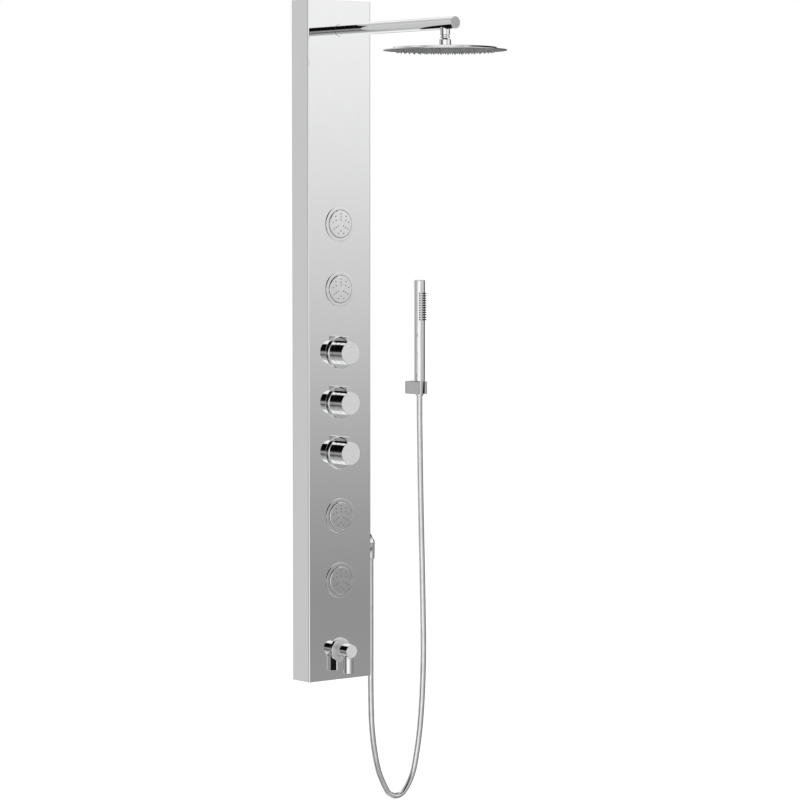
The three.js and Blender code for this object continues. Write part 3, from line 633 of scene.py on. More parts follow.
def combine(obj, tool, operation):
    """Cuts the tool out of obj or joins it on, and removes the tool."""
    for item in (obj, tool):
        item.modifiers.clear()
    step = obj.modifiers.new("combine", "BOOLEAN")
    step.operation = operation
    step.solver = "EXACT"
    step.object = tool
    apply_modifiers(obj)
    bpy.data.objects.remove(tool)


def cut(obj, tool):
    combine(obj, tool, "DIFFERENCE")


def join(obj, tool):
    combine(obj, tool, "UNION")


def soften(obj, width, steps=2, angle=40):
    """Rounds the object's edges that are steeper than the angle."""
    obj.modifiers.clear()
    step = obj.modifiers.new("soften", "BEVEL")
    step.width = width * MM
    step.segments = steps
    step.limit_method = "ANGLE"
    step.angle_limit = math.radians(angle)
    step.harden_normals = False
    apply_modifiers(obj)
    shade(obj)


def turned(name, outline, axes, segments=FINE, loop=False, **options):
    bm = bmesh.new()
    turn_into(bm, outline, axes, segments, loop, **options)
    return object_from(name, bm)


def prism(name, outline, axes, low, high):
    bm = bmesh.new()
    prism_into(bm, outline, axes, low, high)
    return object_from(name, bm)


def cutters(name, discs, segments=FINE):
    """One tool made of several round bars: (radius, low, high, axes) each."""
    bm = bmesh.new()
    for radius, low, high, axes in discs:
        turn_into(bm, [(0, low), (radius, low), (radius, high), (0, high)], axes, segments)
    return object_from(name, bm)


def bore_out(obj, bars):
    """Cuts round bars out one after the other, since they may cross."""
    for bar in bars:
        cut(obj, cutters("bore", [bar], PLAIN))
    shade(obj)


def settle(obj, body, finish, *nodes):
    """Gives the piece its material and the body it rides on, and hides the CAD nodes it stands for."""
    obj.data.materials.append(MATERIALS[finish])
    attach(obj, body)
    if nodes:
        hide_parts(*nodes)
    return obj


def finish_front(obj, finish, y):
    """Gives a second material to the flat face at a distance y that looks out into the room."""
    obj.data.materials.append(MATERIALS[finish])
    for face in obj.data.polygons:
        if face.normal.y < -0.99 and abs(face.center.y - y * MM) < 0.00005:
            face.material_index = 1


def middle(node):
    """A CAD node's centre in millimetres."""
    low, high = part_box(node)
    return (low + high) / 2 / MM


def span(node):
    """A CAD node's lowest and highest corner in millimetres."""
    low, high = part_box(node)
    return low / MM, high / MM


# ---------------------------------------------------------------- hose

HOSE_DIAMETER = 0.013
# the centreline, in metres, from the elbow's nut round the loop and up to the hand shower
HOSE_ROUTE = [
    (0.1088, -0.0300, -1.0914), (0.1088, -0.0300, -1.1300), (0.1088, -0.0300, -1.1854),
    (0.1088, -0.0300, -1.2752), (0.1088, -0.0300, -1.3649), (0.1096, -0.0300, -1.4200),
    (0.1120, -0.0302, -1.4730), (0.1192, -0.0305, -1.5278), (0.1312, -0.0312, -1.5774),
    (0.1496, -0.0320, -1.6155), (0.1605, -0.0326, -1.6301), (0.1772, -0.0332, -1.6366),
    (0.1941, -0.0339, -1.6333), (0.2070, -0.0346, -1.6216),
    (0.2254, -0.0354, -1.5894), (0.2371, -0.0360, -1.5419), (0.2456, -0.0364, -1.4883),
    (0.2519, -0.0366, -1.4186), (0.2554, -0.0368, -1.3349), (0.2557, -0.0368, -1.2893),
    (0.2543, -0.0367, -1.2072), (0.2520, -0.0365, -1.1070), (0.2496, -0.0363, -1.0158),
    (0.2474, -0.0362, -0.9247), (0.2458, -0.0361, -0.8337), (0.2450, -0.0360, -0.7750),
    (0.2448, -0.0360, -0.7298),
]


def build_hose():
    path = spline(HOSE_ROUTE, 0.004)
    bm = bmesh.new()
    tube_into(bm, path, HOSE_DIAMETER / 2, 40)
    hose = object_from("shower_hose", bm)
    hose.data.materials.append(MATERIALS["hose_skin"])
    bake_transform(hose)
    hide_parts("hose")
    return hose, path


hose, hose_path = build_hose()

# ---------------------------------------------------------------- panel

PANEL_SHEET = 1.5
PANEL_CORNER = 3
PANEL_LIP = 15
ARM_RADIUS = 13
JET_HOLE = 33.3
CARTRIDGE_RADIUS = 14
SPOUT_TAIL = 10
ELBOW_RADIUS = 9.3
NUT_BACK = -PANEL_SHEET - GAP  # where a lock nut bears, behind the panel's sheet
NUT_HEIGHT = 7
NUT_WALL = 6  # from a lock nut's thread to its corners
NUT_CONE = 1.1
CONTROLS = ("diverter", "flow", "temperature")
JETS = (1, 2, 3, 4)

panel_low, panel_high = span("casing")
HALF = panel_high.x
FRONT = panel_low.y


def build_casing():
    """Folded sheet: a tray open at the back between two lips, with round holes for the fittings."""
    lowest, highest = panel_low.z, panel_high.z
    outside = [(-HALF, 0), (-HALF, FRONT, PANEL_CORNER), (HALF, FRONT, PANEL_CORNER), (HALF, 0)]
    tray = prism("panel_casing", outside, UP, lowest, highest)
    inner = PANEL_CORNER - PANEL_SHEET
    deep = FRONT + PANEL_SHEET
    side = HALF - PANEL_SHEET
    inside = [(-side, -PANEL_SHEET), (-side, deep, inner), (side, deep, inner), (side, -PANEL_SHEET)]
    opening = block((PANEL_LIP - HALF, HALF - PANEL_LIP), (-2 * PANEL_SHEET, 1))
    for name, outline in (("hollow", inside), ("opening", opening)):
        cut(tray, prism(name, outline, UP, lowest + PANEL_SHEET, highest - PANEL_SHEET))
    reach = 2 * PANEL_SHEET
    holes = [(JET_HOLE, middle(f"jet_{jet}_bezel").z) for jet in JETS]
    holes += [(CARTRIDGE_RADIUS + GAP, middle(f"{control}_cartridge").z) for control in CONTROLS]
    holes += [(ARM_RADIUS + GAP, middle("arm_tube").z), (SPOUT_TAIL + GAP, middle("spout_flange").z)]
    bars = [(radius, -reach, reach, at(OUT, 0, FRONT, z)) for radius, z in holes]
    elbow = middle("elbow_flange")
    bars.append((ELBOW_RADIUS + GAP, -reach, reach, at(RIGHT, HALF, elbow.y, elbow.z)))
    cut(tray, cutters("holes", bars))
    soften(tray, 0.45, 2, 50)
    settle(tray, "column", "mirror_steel", "casing")


build_casing()

# ---------------------------------------------------------------- rain arm and neck


def build_arm():
    low, high = span("arm_tube")
    length = high.y - low.y
    outline = [
        (0, length), (ARM_RADIUS, length, 0.9), (ARM_RADIUS, 0, 0.3), (ARM_RADIUS - 2, 0, 0.3),
        (ARM_RADIUS - 2, length - 3), (0, length - 3),
    ]
    arm = turned("rain_arm", outline, at(OUT, 0, high.y, middle("arm_tube").z), 128)
    settle(arm, "column", "chrome", "arm_tube")
    finish_front(arm, "arm_face", low.y)


NECK_RADIUS = 10.3
NECK_WAIST = 8.9
NECK_STEM = 5
BALL_RADIUS = 8.3
BALL_DROP = 38.5  # arm's axis to the ball's centre
NUT_RADIUS = 12.5
NUT_ABOVE = 4.6
NUT_BELOW = 8.1
NECK_LIP = NUT_ABOVE + 2.3
SEAT_INNER = BALL_RADIUS + 0.6
SEAT_OUTER = SEAT_INNER + 1.4
NUT_CAVITY = SEAT_OUTER + 0.6


def build_neck():
    arm = middle("arm_tube")
    neck = middle("ball_stud")
    ball = at(UP, 0, neck.y, arm.z - BALL_DROP)
    ball_top = math.sqrt(BALL_RADIUS ** 2 - NECK_STEM ** 2)
    outline = [
        *arc(BALL_RADIUS, -BALL_RADIUS, ball_top, 16),
        (NECK_STEM, NECK_LIP, 0.5), (NECK_RADIUS, NECK_LIP, 0.5), (NECK_RADIUS, NECK_LIP + 2.6, 0.4),
        (NECK_WAIST, NECK_LIP + 3.2, 0.4), (NECK_WAIST, NECK_LIP + 6.4, 0.4),
        (NECK_RADIUS, NECK_LIP + 7, 0.5), (NECK_RADIUS, BALL_DROP), (0, BALL_DROP),
    ]
    stud = turned("arm_neck", outline, ball)
    saddle = cutters("saddle", [(ARM_RADIUS + GAP, -20, 20, at(OUT, 0, neck.y, arm.z))], 128)
    cut(stud, saddle)
    shade(stud)
    settle(stud, "column", "chrome", "ball_stud")
    seat = [*arc(SEAT_OUTER, -4, 4), *reversed(arc(SEAT_INNER, -4, 4))]
    seat_ring = turned("ball_seat_ring", seat, ball, PLAIN, loop=True)
    settle(seat_ring, "ball_seat", "white_plastic", "ball_seat")
    nut = [
        (NUT_CAVITY, -NUT_BELOW), (NUT_RADIUS, -NUT_BELOW, 0.5), (NUT_RADIUS, NUT_ABOVE, 1.3),
        *reversed(arc(NUT_CAVITY, 0, NUT_ABOVE)),
    ]
    settle(turned("swivel_collar", nut, ball, loop=True), "swivel_nut", "chrome", "swivel_nut")


build_arm()
build_neck()

# ---------------------------------------------------------------- rain head

HEAD_RADIUS = 131
PLATE_RADIUS = 111
RIM_DROP = 17.9
RIM = 2
CROWN = 6.2
DOME = 3
HEAD_WALL = 2
HEAD_BORE = 6.6
SPIGOT_TOP = -6.3
NOZZLE_RINGS = 7
NOZZLE_REACH = 102.4
NOZZLE_LENGTH = 4.4


def build_head():
    ball_z = middle("arm_tube").z - BALL_DROP
    ball = at(UP, 0, middle("ball_stud").y, ball_z)
    rim = -RIM_DROP
    crown = rim + CROWN
    plate_top = rim + RIM / 2
    bottom = rim - RIM / 2
    spigot = NUT_CAVITY - GAP
    shell = [
        (HEAD_BORE, SPIGOT_TOP), (spigot, SPIGOT_TOP, 0.3), (spigot, -NUT_BELOW - GAP),
        (NUT_RADIUS, -NUT_BELOW - GAP, 0.4),
        (NUT_RADIUS + 2, crown + DOME, 2), (PLATE_RADIUS / 2, crown + DOME / 2, 60),
        (PLATE_RADIUS - 2, crown, 3.5), (PLATE_RADIUS + 1.5, plate_top, 1.2), (HEAD_RADIUS, plate_top, 0.7),
        (HEAD_RADIUS, bottom, 0.7), (PLATE_RADIUS + GAP, bottom, 0.3), (PLATE_RADIUS + GAP, plate_top),
        (PLATE_RADIUS - 4, crown - HEAD_WALL), (PLATE_RADIUS / 2, crown + DOME / 2 - HEAD_WALL),
        (HEAD_BORE, crown + DOME - HEAD_WALL),
    ]
    head = turned("rain_head_shell", shell, ball, 192, loop=True)
    settle(head, "rain_head", "chrome", "head_shell")
    spray = [(0, 0)]
    for ring in range(1, NOZZLE_RINGS + 1):
        half_step = math.pi / (6 * ring) if ring % 2 else 0.0
        spray += circle(6 * ring, NOZZLE_REACH * ring / NOZZLE_RINGS, half_step)
    plate = [(0, bottom), (PLATE_RADIUS, bottom, 0.4), (PLATE_RADIUS, plate_top - GAP, 0.3),
             (0, plate_top - GAP)]
    settle(turned("spray_plate", plate, ball, 192), "rain_head", "chrome", "nozzle_plate")
    tips = bmesh.new()
    tip = [(0, 0.05), (3.1, 0.05, 0.3), (2.9, 0.55, 0.4), (2.05, 0.8, 0.3), (1.45, NOZZLE_LENGTH, 0.5),
           (0.6, NOZZLE_LENGTH, 0.2), (0.6, NOZZLE_LENGTH - 1.2), (0, NOZZLE_LENGTH - 1.2)]
    for x, y in spray:
        down = ball @ Matrix.Translation((x, y, bottom)) @ Matrix.Rotation(math.pi, 4, "X")
        turn_into(tips, tip, down, 12)
    settle(object_from("spray_tips", tips), "rain_head", "nozzle_grey")


build_head()

# ---------------------------------------------------------------- body jets

FACE_RADIUS = 31
FACE_HALF = 3
FACE_PIVOT = 1.2
BEZEL_RADIUS = 39
BEZEL_HEIGHT = 2
SLEEVE = FACE_RADIUS + GAP + 1.7
SLEEVE_DEPTH = 10
JET_HOLES = [(3, 8.8), (6, 15.4), (9, 22)]
CUP_DEPTH = 15
CUP_WALL = 3
CUP_RIM = -1.8
BOSS_RADIUS = 12
BOSS_DEPTH = 20


def build_jet(number):
    z = middle(f"jet_{number}_bezel").z
    base = at(OUT, 0, FRONT, z)
    bore = FACE_RADIUS + GAP
    bezel = [
        (bore, -SLEEVE_DEPTH), (SLEEVE, -SLEEVE_DEPTH), (SLEEVE, GAP), (BEZEL_RADIUS, GAP, 0.3),
        (BEZEL_RADIUS, BEZEL_HEIGHT, 0.9), (bore, BEZEL_HEIGHT, 0.5),
    ]
    settle(turned(f"jet_{number}_ring", bezel, base, loop=True), "column", "chrome", f"jet_{number}_bezel")
    rim = arc(FACE_RADIUS, -FACE_HALF, FACE_HALF - 0.8, 6)
    top = FACE_HALF
    outline = [(0, -FACE_HALF), *rim, (FACE_RADIUS - 0.9, top - 0.35), (FACE_RADIUS - 1.5, top - 0.05),
               (FACE_RADIUS - 2.1, top), (0, top)]
    face_base = at(OUT, 0, FRONT - FACE_PIVOT, z)
    face = turned(f"jet_{number}_disc", outline, face_base)
    settle(face, f"jet_{number}_face", "chrome", f"jet_{number}_face")
    tips = bmesh.new()
    tip = [(0, top + 0.03), (1.4, top + 0.03, 0.3), (1.2, top + 0.9, 0.4), (0.6, top + 0.9, 0.2),
           (0.6, top + 0.3), (0, top + 0.3)]
    for count, radius in JET_HOLES:
        for x, y in circle(count, radius, math.pi / 2):
            turn_into(tips, tip, face_base @ Matrix.Translation((x, y, 0)), 14)
    settle(object_from(f"jet_{number}_tips", tips), f"jet_{number}_face", "nozzle_grey")
    inner = SLEEVE + GAP
    outer = inner + CUP_WALL

    def ribbed(angle, radius, height):
        """Grip ribs round the cup's wall."""
        if radius < inner + 0.5 or height > -4:
            return radius, height
        return radius - 0.5 + 0.5 * math.cos(angle * 24), height

    floor = CUP_WALL - CUP_DEPTH
    back = -CUP_DEPTH - BOSS_DEPTH
    outline = [
        (0, back), (BOSS_RADIUS, back, 1), (BOSS_RADIUS, -CUP_DEPTH, 2), (outer, -CUP_DEPTH, 1), (outer, -5),
        (outer, CUP_RIM, 0.3), (inner, CUP_RIM), (inner, floor), (0, floor),
    ]
    cup = turned(f"jet_{number}_cup", outline, base, 144, radius_at=ribbed)
    settle(cup, "column", "white_plastic", f"jet_{number}_body")


for jet_number in JETS:
    build_jet(jet_number)

# ---------------------------------------------------------------- controls

RING_RADIUS = 36.5
RING_START = 1
RING_END = 6.5
TAB_WIDTH = 12
TAB_END = 32
KNOB_RADIUS = 25.5
KNOB_END = 40
KNOB_WALL = 2.5
SPINDLE_RADIUS = 5
SETBACK = 12
CONTROL_NUT = 8


def hexagon(corner_radius):
    """Section of a hexagonal nut whose corners reach a radius, its ends turned to a cone."""
    flat = corner_radius * math.cos(math.pi / 6)

    def section(angle, radius, height):
        if radius < corner_radius - 0.01:
            return radius, height
        turned_back = (angle % (math.pi / 3)) - math.pi / 6
        return flat / math.cos(turned_back), height
    return section


def lock_nut(name, node, radius, axes, low=NUT_BACK - NUT_HEIGHT, high=NUT_BACK):
    """Brass nut on a thread of a radius, between two heights."""
    bore = radius + GAP
    corner = radius + NUT_WALL
    flat = corner * math.cos(math.pi / 6) - 0.3
    outline = [(bore, low), (flat, low), (corner, low + NUT_CONE), (corner, high - NUT_CONE), (flat, high),
               (bore, high)]
    nut = turned(name, outline, axes, 72, loop=True, radius_at=hexagon(corner))
    settle(nut, "column", "brass", node)


def build_control(name):
    z = middle(f"{name}_cartridge").z
    base = at(OUT, 0, FRONT, z)
    body = f"{name}_handle"
    barrel = [
        (SPINDLE_RADIUS + GAP, GAP - SETBACK), (CARTRIDGE_RADIUS, GAP - SETBACK, 0.8),
        (CARTRIDGE_RADIUS, RING_START - GAP, 0.5), (SPINDLE_RADIUS + GAP, RING_START - GAP),
    ]
    settle(turned(f"{name}_valve", barrel, base, PLAIN, loop=True), "column", "brass", f"{name}_cartridge")
    stem = [
        (0, GAP - SETBACK), (SPINDLE_RADIUS, GAP - SETBACK, 0.5),
        (SPINDLE_RADIUS, KNOB_END - KNOB_WALL - GAP, 0.6), (0, KNOB_END - KNOB_WALL - GAP),
    ]
    settle(turned(f"{name}_stem", stem, base, PLAIN), body, "brass", f"{name}_spindle")
    lock_nut(f"{name}_nut", f"{name}_lock_nut", CARTRIDGE_RADIUS, base, NUT_BACK - CONTROL_NUT)
    disc = [
        (SPINDLE_RADIUS + GAP, RING_START), (RING_RADIUS, RING_START, 0.5), (RING_RADIUS, RING_END, 3),
        (SPINDLE_RADIUS + GAP, RING_END),
    ]
    lever = turned(f"{name}_lever", disc, base, 128, loop=True)
    reach = (KNOB_RADIUS + GAP, RING_RADIUS - EASE)
    tab_outline = block((-TAB_WIDTH / 2, TAB_WIDTH / 2), reach, 0.9)
    tab = prism("tab", tab_outline, base, RING_START + EASE, TAB_END)
    join(lever, tab)
    soften(lever, 1.5, 3, 50)
    settle(lever, body, "chrome", f"{name}_lever_ring")
    knob_outline = [
        (0, KNOB_END - KNOB_WALL), (KNOB_RADIUS - KNOB_WALL, KNOB_END - KNOB_WALL),
        (KNOB_RADIUS - KNOB_WALL, RING_END + GAP), (KNOB_RADIUS, RING_END + GAP, 0.4),
        (KNOB_RADIUS, KNOB_END, 0.9), (0, KNOB_END),
    ]
    knob = turned(f"{name}_cap", knob_outline, base, 128)
    settle(knob, body, "chrome", f"{name}_knob")
    finish_front(knob, "satin_face", FRONT - KNOB_END)


for control_name in CONTROLS:
    build_control(control_name)

# ---------------------------------------------------------------- tub spout

SPOUT_FLANGE_RADIUS = 26.5
SPOUT_FLANGE_HEIGHT = 4.2
SPOUT_RADIUS = 15.2
SPOUT_REACH = 42.2
OUTLET_REACH = 30
OUTLET_RADIUS = 11.5
OUTLET_DROP = 49.6
COLLAR_RADIUS = 12.6
COLLAR_DROP = 19
COLLAR_HEIGHT = 3
OUTLET_BORE = 9
SPOUT_END = 16  # how far the tail reaches behind the panel's front
SCREEN_HEIGHT = 8
SCREEN_HOLE = 1.1
SCREEN_HOLES = [(6, 3.1), (12, 6.0)]  # how many, and how far from the middle


def build_spout():
    z = middle("spout_flange").z
    base = at(OUT, 0, FRONT, z)
    flange = [
        (SPOUT_TAIL + GAP, GAP), (SPOUT_FLANGE_RADIUS, GAP, 0.3),
        (SPOUT_FLANGE_RADIUS, SPOUT_FLANGE_HEIGHT, 2.4),
        (SPOUT_TAIL + GAP, SPOUT_FLANGE_HEIGHT),
    ]
    rose = settle(turned("spout_rose", flange, base, loop=True), "column", "chrome", "spout_flange")
    finish_front(rose, "satin_face", FRONT - SPOUT_FLANGE_HEIGHT)
    start = SPOUT_FLANGE_HEIGHT + GAP
    barrel = [
        (0, -SPOUT_END), (SPOUT_TAIL, -SPOUT_END, 0.5), (SPOUT_TAIL, start), (SPOUT_RADIUS, start, 0.5),
        (SPOUT_RADIUS, SPOUT_REACH, 0.9), (0, SPOUT_REACH),
    ]
    spout = turned("spout_barrel", barrel, base)
    outlet_axes = at(UP, 0, FRONT - OUTLET_REACH, z)
    outlet = [
        (0, -OUTLET_DROP), (OUTLET_RADIUS, -OUTLET_DROP, 0.7), (OUTLET_RADIUS, -COLLAR_DROP, 0.3),
        (COLLAR_RADIUS, -COLLAR_DROP, 0.5), (COLLAR_RADIUS, COLLAR_HEIGHT - COLLAR_DROP, 0.5),
        (OUTLET_RADIUS, COLLAR_HEIGHT - COLLAR_DROP, 0.3), (OUTLET_RADIUS, 0), (0, 0),
    ]
    join(spout, turned("outlet", outlet, outlet_axes))
    bore_out(spout, [(OUTLET_BORE - 2, -SPOUT_END - 1, OUTLET_REACH, base),
                     (OUTLET_BORE, -OUTLET_DROP - 1, 0, outlet_axes)])
    settle(spout, "column", "chrome", "spout_body")
    finish_front(spout, "satin_face", FRONT - SPOUT_REACH)
    screen_axes = at(UP, 0, FRONT - OUTLET_REACH, z - OUTLET_DROP + 1)
    width = OUTLET_BORE - GAP
    outline = [(0, 0), (width, 0, 0.4), (width, SCREEN_HEIGHT, 0.4), (0, SCREEN_HEIGHT)]
    screen = turned("spout_screen", outline, screen_axes, PLAIN)
    ways = [(SCREEN_HOLE + 0.1, -1, SCREEN_HEIGHT + 1, screen_axes)]
    for count, radius in SCREEN_HOLES:
        for x, y in circle(count, radius):
            spot = screen_axes @ Matrix.Translation((x, y, 0))
            ways.append((SCREEN_HOLE, -1, SCREEN_HEIGHT + 1, spot))
    cut(screen, cutters("ways", ways, 16))
    shade(screen)
    settle(screen, "column", "grey_plastic", "spout_aerator")
    lock_nut("spout_nut", "spout_lock_nut", SPOUT_TAIL, base)


build_spout()

# ---------------------------------------------------------------- hose outlet

ELBOW_FLANGE_RADIUS = 24.5
ELBOW_FLANGE_HEIGHT = 12.5
ELBOW_REACH = 22.3
ELBOW_LEG = 21.5
ELBOW_BORE = 5
ELBOW_TAIL = 17


def build_elbow():
    flange_middle = middle("elbow_flange")
    base = at(RIGHT, HALF, flange_middle.y, flange_middle.z)
    flange = [
        (ELBOW_RADIUS + GAP, GAP), (ELBOW_FLANGE_RADIUS, GAP, 0.3),
        (ELBOW_FLANGE_RADIUS, ELBOW_FLANGE_HEIGHT, 1.6),
        (ELBOW_RADIUS + GAP, ELBOW_FLANGE_HEIGHT),
    ]
    settle(turned("outlet_rose", flange, base, loop=True), "column", "chrome", "elbow_flange")
    outline = [(0, -ELBOW_TAIL), (ELBOW_RADIUS, -ELBOW_TAIL, 0.4), (ELBOW_RADIUS, ELBOW_REACH),
               (0, ELBOW_REACH)]
    stub = turned("outlet_elbow", outline, base)
    leg_axes = at(UP, HALF + ELBOW_REACH, flange_middle.y, flange_middle.z)
    ball = arc(ELBOW_RADIUS, 0, ELBOW_RADIUS, 12)[:-1]
    leg = [(0, -ELBOW_LEG), (ELBOW_RADIUS, -ELBOW_LEG, 0.5), *ball, (0, ELBOW_RADIUS)]
    join(stub, turned("leg", leg, leg_axes))
    bore_out(stub, [(ELBOW_BORE, -ELBOW_TAIL - 1, ELBOW_REACH, base),
                    (ELBOW_BORE, -ELBOW_LEG - 1, 0, leg_axes)])
    settle(stub, "column", "chrome", "elbow_body")
    lock_nut("outlet_nut", "elbow_lock_nut", ELBOW_RADIUS, base)


build_elbow()
arm_nut_low, arm_nut_high = span("arm_lock_nut")
lock_nut("arm_nut", "arm_lock_nut", ARM_RADIUS, at(OUT, 0, arm_nut_high.y, middle("arm_lock_nut").z),
         0, arm_nut_high.y - arm_nut_low.y)

# ---------------------------------------------------------------- hand shower, holder and hose ends

HOLDER_SLOT = 15
CONE_TOP = 10.9
CONE_BOTTOM = 8.6
HOSE_BORE = 4
HANDSET_RADIUS = 12.5
HANDSET_WALL = 1.7
HANDSET_CAP = 3
SPRAY_ROWS = 12
SPRAY_COLUMNS = 3
SPRAY_PITCH = 5.38
SPRAY_SPREAD = math.radians(36)
SPRAY_FIRST = 29.8
SPRAY_TIP = 3.6
SPRAY_HOLE = 1.8
HOSE_HOLE = HOSE_DIAMETER / MM / 2 + 0.25
ELBOW_NUT_RADIUS = 9

holder_low, holder_high = span("holder_block")
cone_low, cone_high = span("hose_cone_nut")
HAND_X = middle("hose_cone_nut").x
HAND_Y = middle("hose_cone_nut").y
HAND = at(UP, HAND_X, HAND_Y)


def cone_radius(z):
    share = (cone_high.z - z) / (cone_high.z - cone_low.z)
    return CONE_TOP + share * (CONE_BOTTOM - CONE_TOP)


def build_holder():
    outline = block((holder_low.x, holder_high.x), (holder_low.y, holder_high.y), 0.8)
    holder = prism("hand_holder", outline, UP, holder_low.z, holder_high.z)
    low, high = holder_low.z - 1, holder_high.z + 1
    well = [(0, low), (cone_radius(low) + GAP, low), (cone_radius(high) + GAP, high), (0, high)]
    cut(holder, turned("well", well, HAND))
    slot = block((HAND_X - HOLDER_SLOT / 2, HAND_X + HOLDER_SLOT / 2), (holder_low.y - 1, HAND_Y))
    cut(holder, prism("slot", slot, UP, low, high))
    soften(holder, 0.5, 3, 50)
    settle(holder, "column", "dull_chrome", "holder_block")


def build_handset():
    bottom = span("handset_body")[0].z
    top = span("handset_cap")[1].z
    inner = HANDSET_RADIUS - HANDSET_WALL
    seat = top - HANDSET_CAP
    outline = [
        (HOSE_BORE, bottom), (HANDSET_RADIUS, bottom, 0.9), (HANDSET_RADIUS, seat - GAP, 0.15),
        (inner, seat - GAP), (inner, bottom + 4), (HOSE_BORE, bottom + 4),
    ]
    tube = turned("handset_tube", outline, HAND, loop=True)
    rows = [top - SPRAY_FIRST - row * SPRAY_PITCH for row in range(SPRAY_ROWS)]
    angles = [(column - (SPRAY_COLUMNS - 1) / 2) * SPRAY_SPREAD for column in range(SPRAY_COLUMNS)]
    outlets = []
    for z in rows:
        outlets += [at(UP, HAND_X, HAND_Y, z) @ Matrix.Rotation(angle, 4, "Z") @ OUT for angle in angles]
    holes = [(SPRAY_HOLE, inner - 1, HANDSET_RADIUS + 1, outlet) for outlet in outlets]
    cut(tube, cutters("outlets", holes, 20))
    shade(tube)
    settle(tube, "handset", "chrome", "handset_body")
    cap = [
        (0, seat - 6), (inner - GAP, seat - 6, 0.3), (inner - GAP, seat), (HANDSET_RADIUS, seat, 0.15),
        (HANDSET_RADIUS, top, 0.9), (0, top),
    ]
    settle(turned("handset_lid", cap, HAND), "handset", "chrome", "handset_cap")
    tips = bmesh.new()
    end = HANDSET_RADIUS + SPRAY_TIP
    tip = [
        (0, inner - 0.9), (1.6, inner - 0.9), (1.6, HANDSET_RADIUS - 0.1, 0.3), (1.35, end, 0.45),
        (0.5, end, 0.15), (0.5, HANDSET_RADIUS), (0, HANDSET_RADIUS),
    ]
    for outlet in outlets:
        turn_into(tips, tip, outlet, 16)
    settle(object_from("handset_tips", tips), "handset", "silicone", "handset_nozzles")


def build_hose_ends():
    cone = [
        (HOSE_HOLE, cone_low.z), (cone_radius(cone_low.z), cone_low.z, 0.7),
        (cone_radius(cone_high.z), cone_high.z, 0.6), (HOSE_BORE, cone_high.z, 0.3),
        (HOSE_BORE, cone_high.z - 3), (HOSE_HOLE, cone_high.z - 6),
    ]
    cone_piece = turned("cone_nut", cone, HAND, loop=True)
    settle(cone_piece, "handset", "chrome", "hose_cone_nut")
    low, high = span("hose_elbow_nut")
    nut_middle = middle("hose_elbow_nut")
    nut = [
        (HOSE_BORE, low.z), (ELBOW_NUT_RADIUS - 0.8, low.z, 0.3), (ELBOW_NUT_RADIUS, low.z + 2, 0.4),
        (ELBOW_NUT_RADIUS, high.z, 0.6), (HOSE_BORE, high.z),
    ]
    nut_piece = turned("elbow_nut", nut, at(UP, nut_middle.x, nut_middle.y), loop=True)
    settle(nut_piece, "column", "chrome", "hose_elbow_nut")
    return cone_piece, nut_piece


build_holder()
build_handset()
hose_fittings = build_hose_ends()
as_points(hose_path)

# ---------------------------------------------------------------- manifold and hidden pipes

MANIFOLD_HALF = 22
MANIFOLD_SETBACK = 12  # from the panel's front
MANIFOLD_DEPTH = 26
MANIFOLD_FRONT = FRONT + MANIFOLD_SETBACK
MANIFOLD_BACK = MANIFOLD_FRONT + MANIFOLD_DEPTH
MANIFOLD_END = 30
BOSS = 9
BOSS_LENGTH = 8
SOCKET = 11
SOCKET_DEPTH = 18
INLET_RADIUS = 10.5
INLET_BORE = 7
INLET_LENGTH = 10
INLET_DEPTH = 8
THREAD_PITCH = 1.8
THREAD_DEPTH = 0.8
PIPE_SETBACK = 27
PIPE_Y = FRONT + PIPE_SETBACK
OUTLET_X = MANIFOLD_HALF / 2
FEED_X = -60
RISER_X = 55
HAND_FEED_X = 45
SPOUT_FEED_X = 66
SPOUT_FEED_Y = FRONT + 10
ARM_END = FRONT + 20
SPOUT_BACK = FRONT + SPOUT_END
FEED_RADIUS = 8
BRANCH_RADIUS = 6
TEE_RADIUS = 9.6
TEE_HALF = 13
RISER = (7, 5)  # outside and inside radius
FEED = (6, 4)
SOCKET_WALL = 1.4
FERRULE_WALL = 1.1
FERRULE_LENGTH = 11

CONTROL_Z = [middle(f"{control}_cartridge").z for control in CONTROLS]
MANIFOLD_TOP = CONTROL_Z[0] + MANIFOLD_END
MANIFOLD_BOTTOM = CONTROL_Z[2] - MANIFOLD_END
ARM_Z = middle("arm_tube").z
SPOUT_Z = middle("spout_flange").z
ELBOW = middle("elbow_flange")


def threaded(radius, low, high):
    """Outline of a screw thread between two heights, as rings."""
    points = []
    for turn in range(int((high - low) / THREAD_PITCH)):
        height = low + turn * THREAD_PITCH
        points += [(radius - THREAD_DEPTH, height), (radius, height + THREAD_PITCH / 2)]
    return points


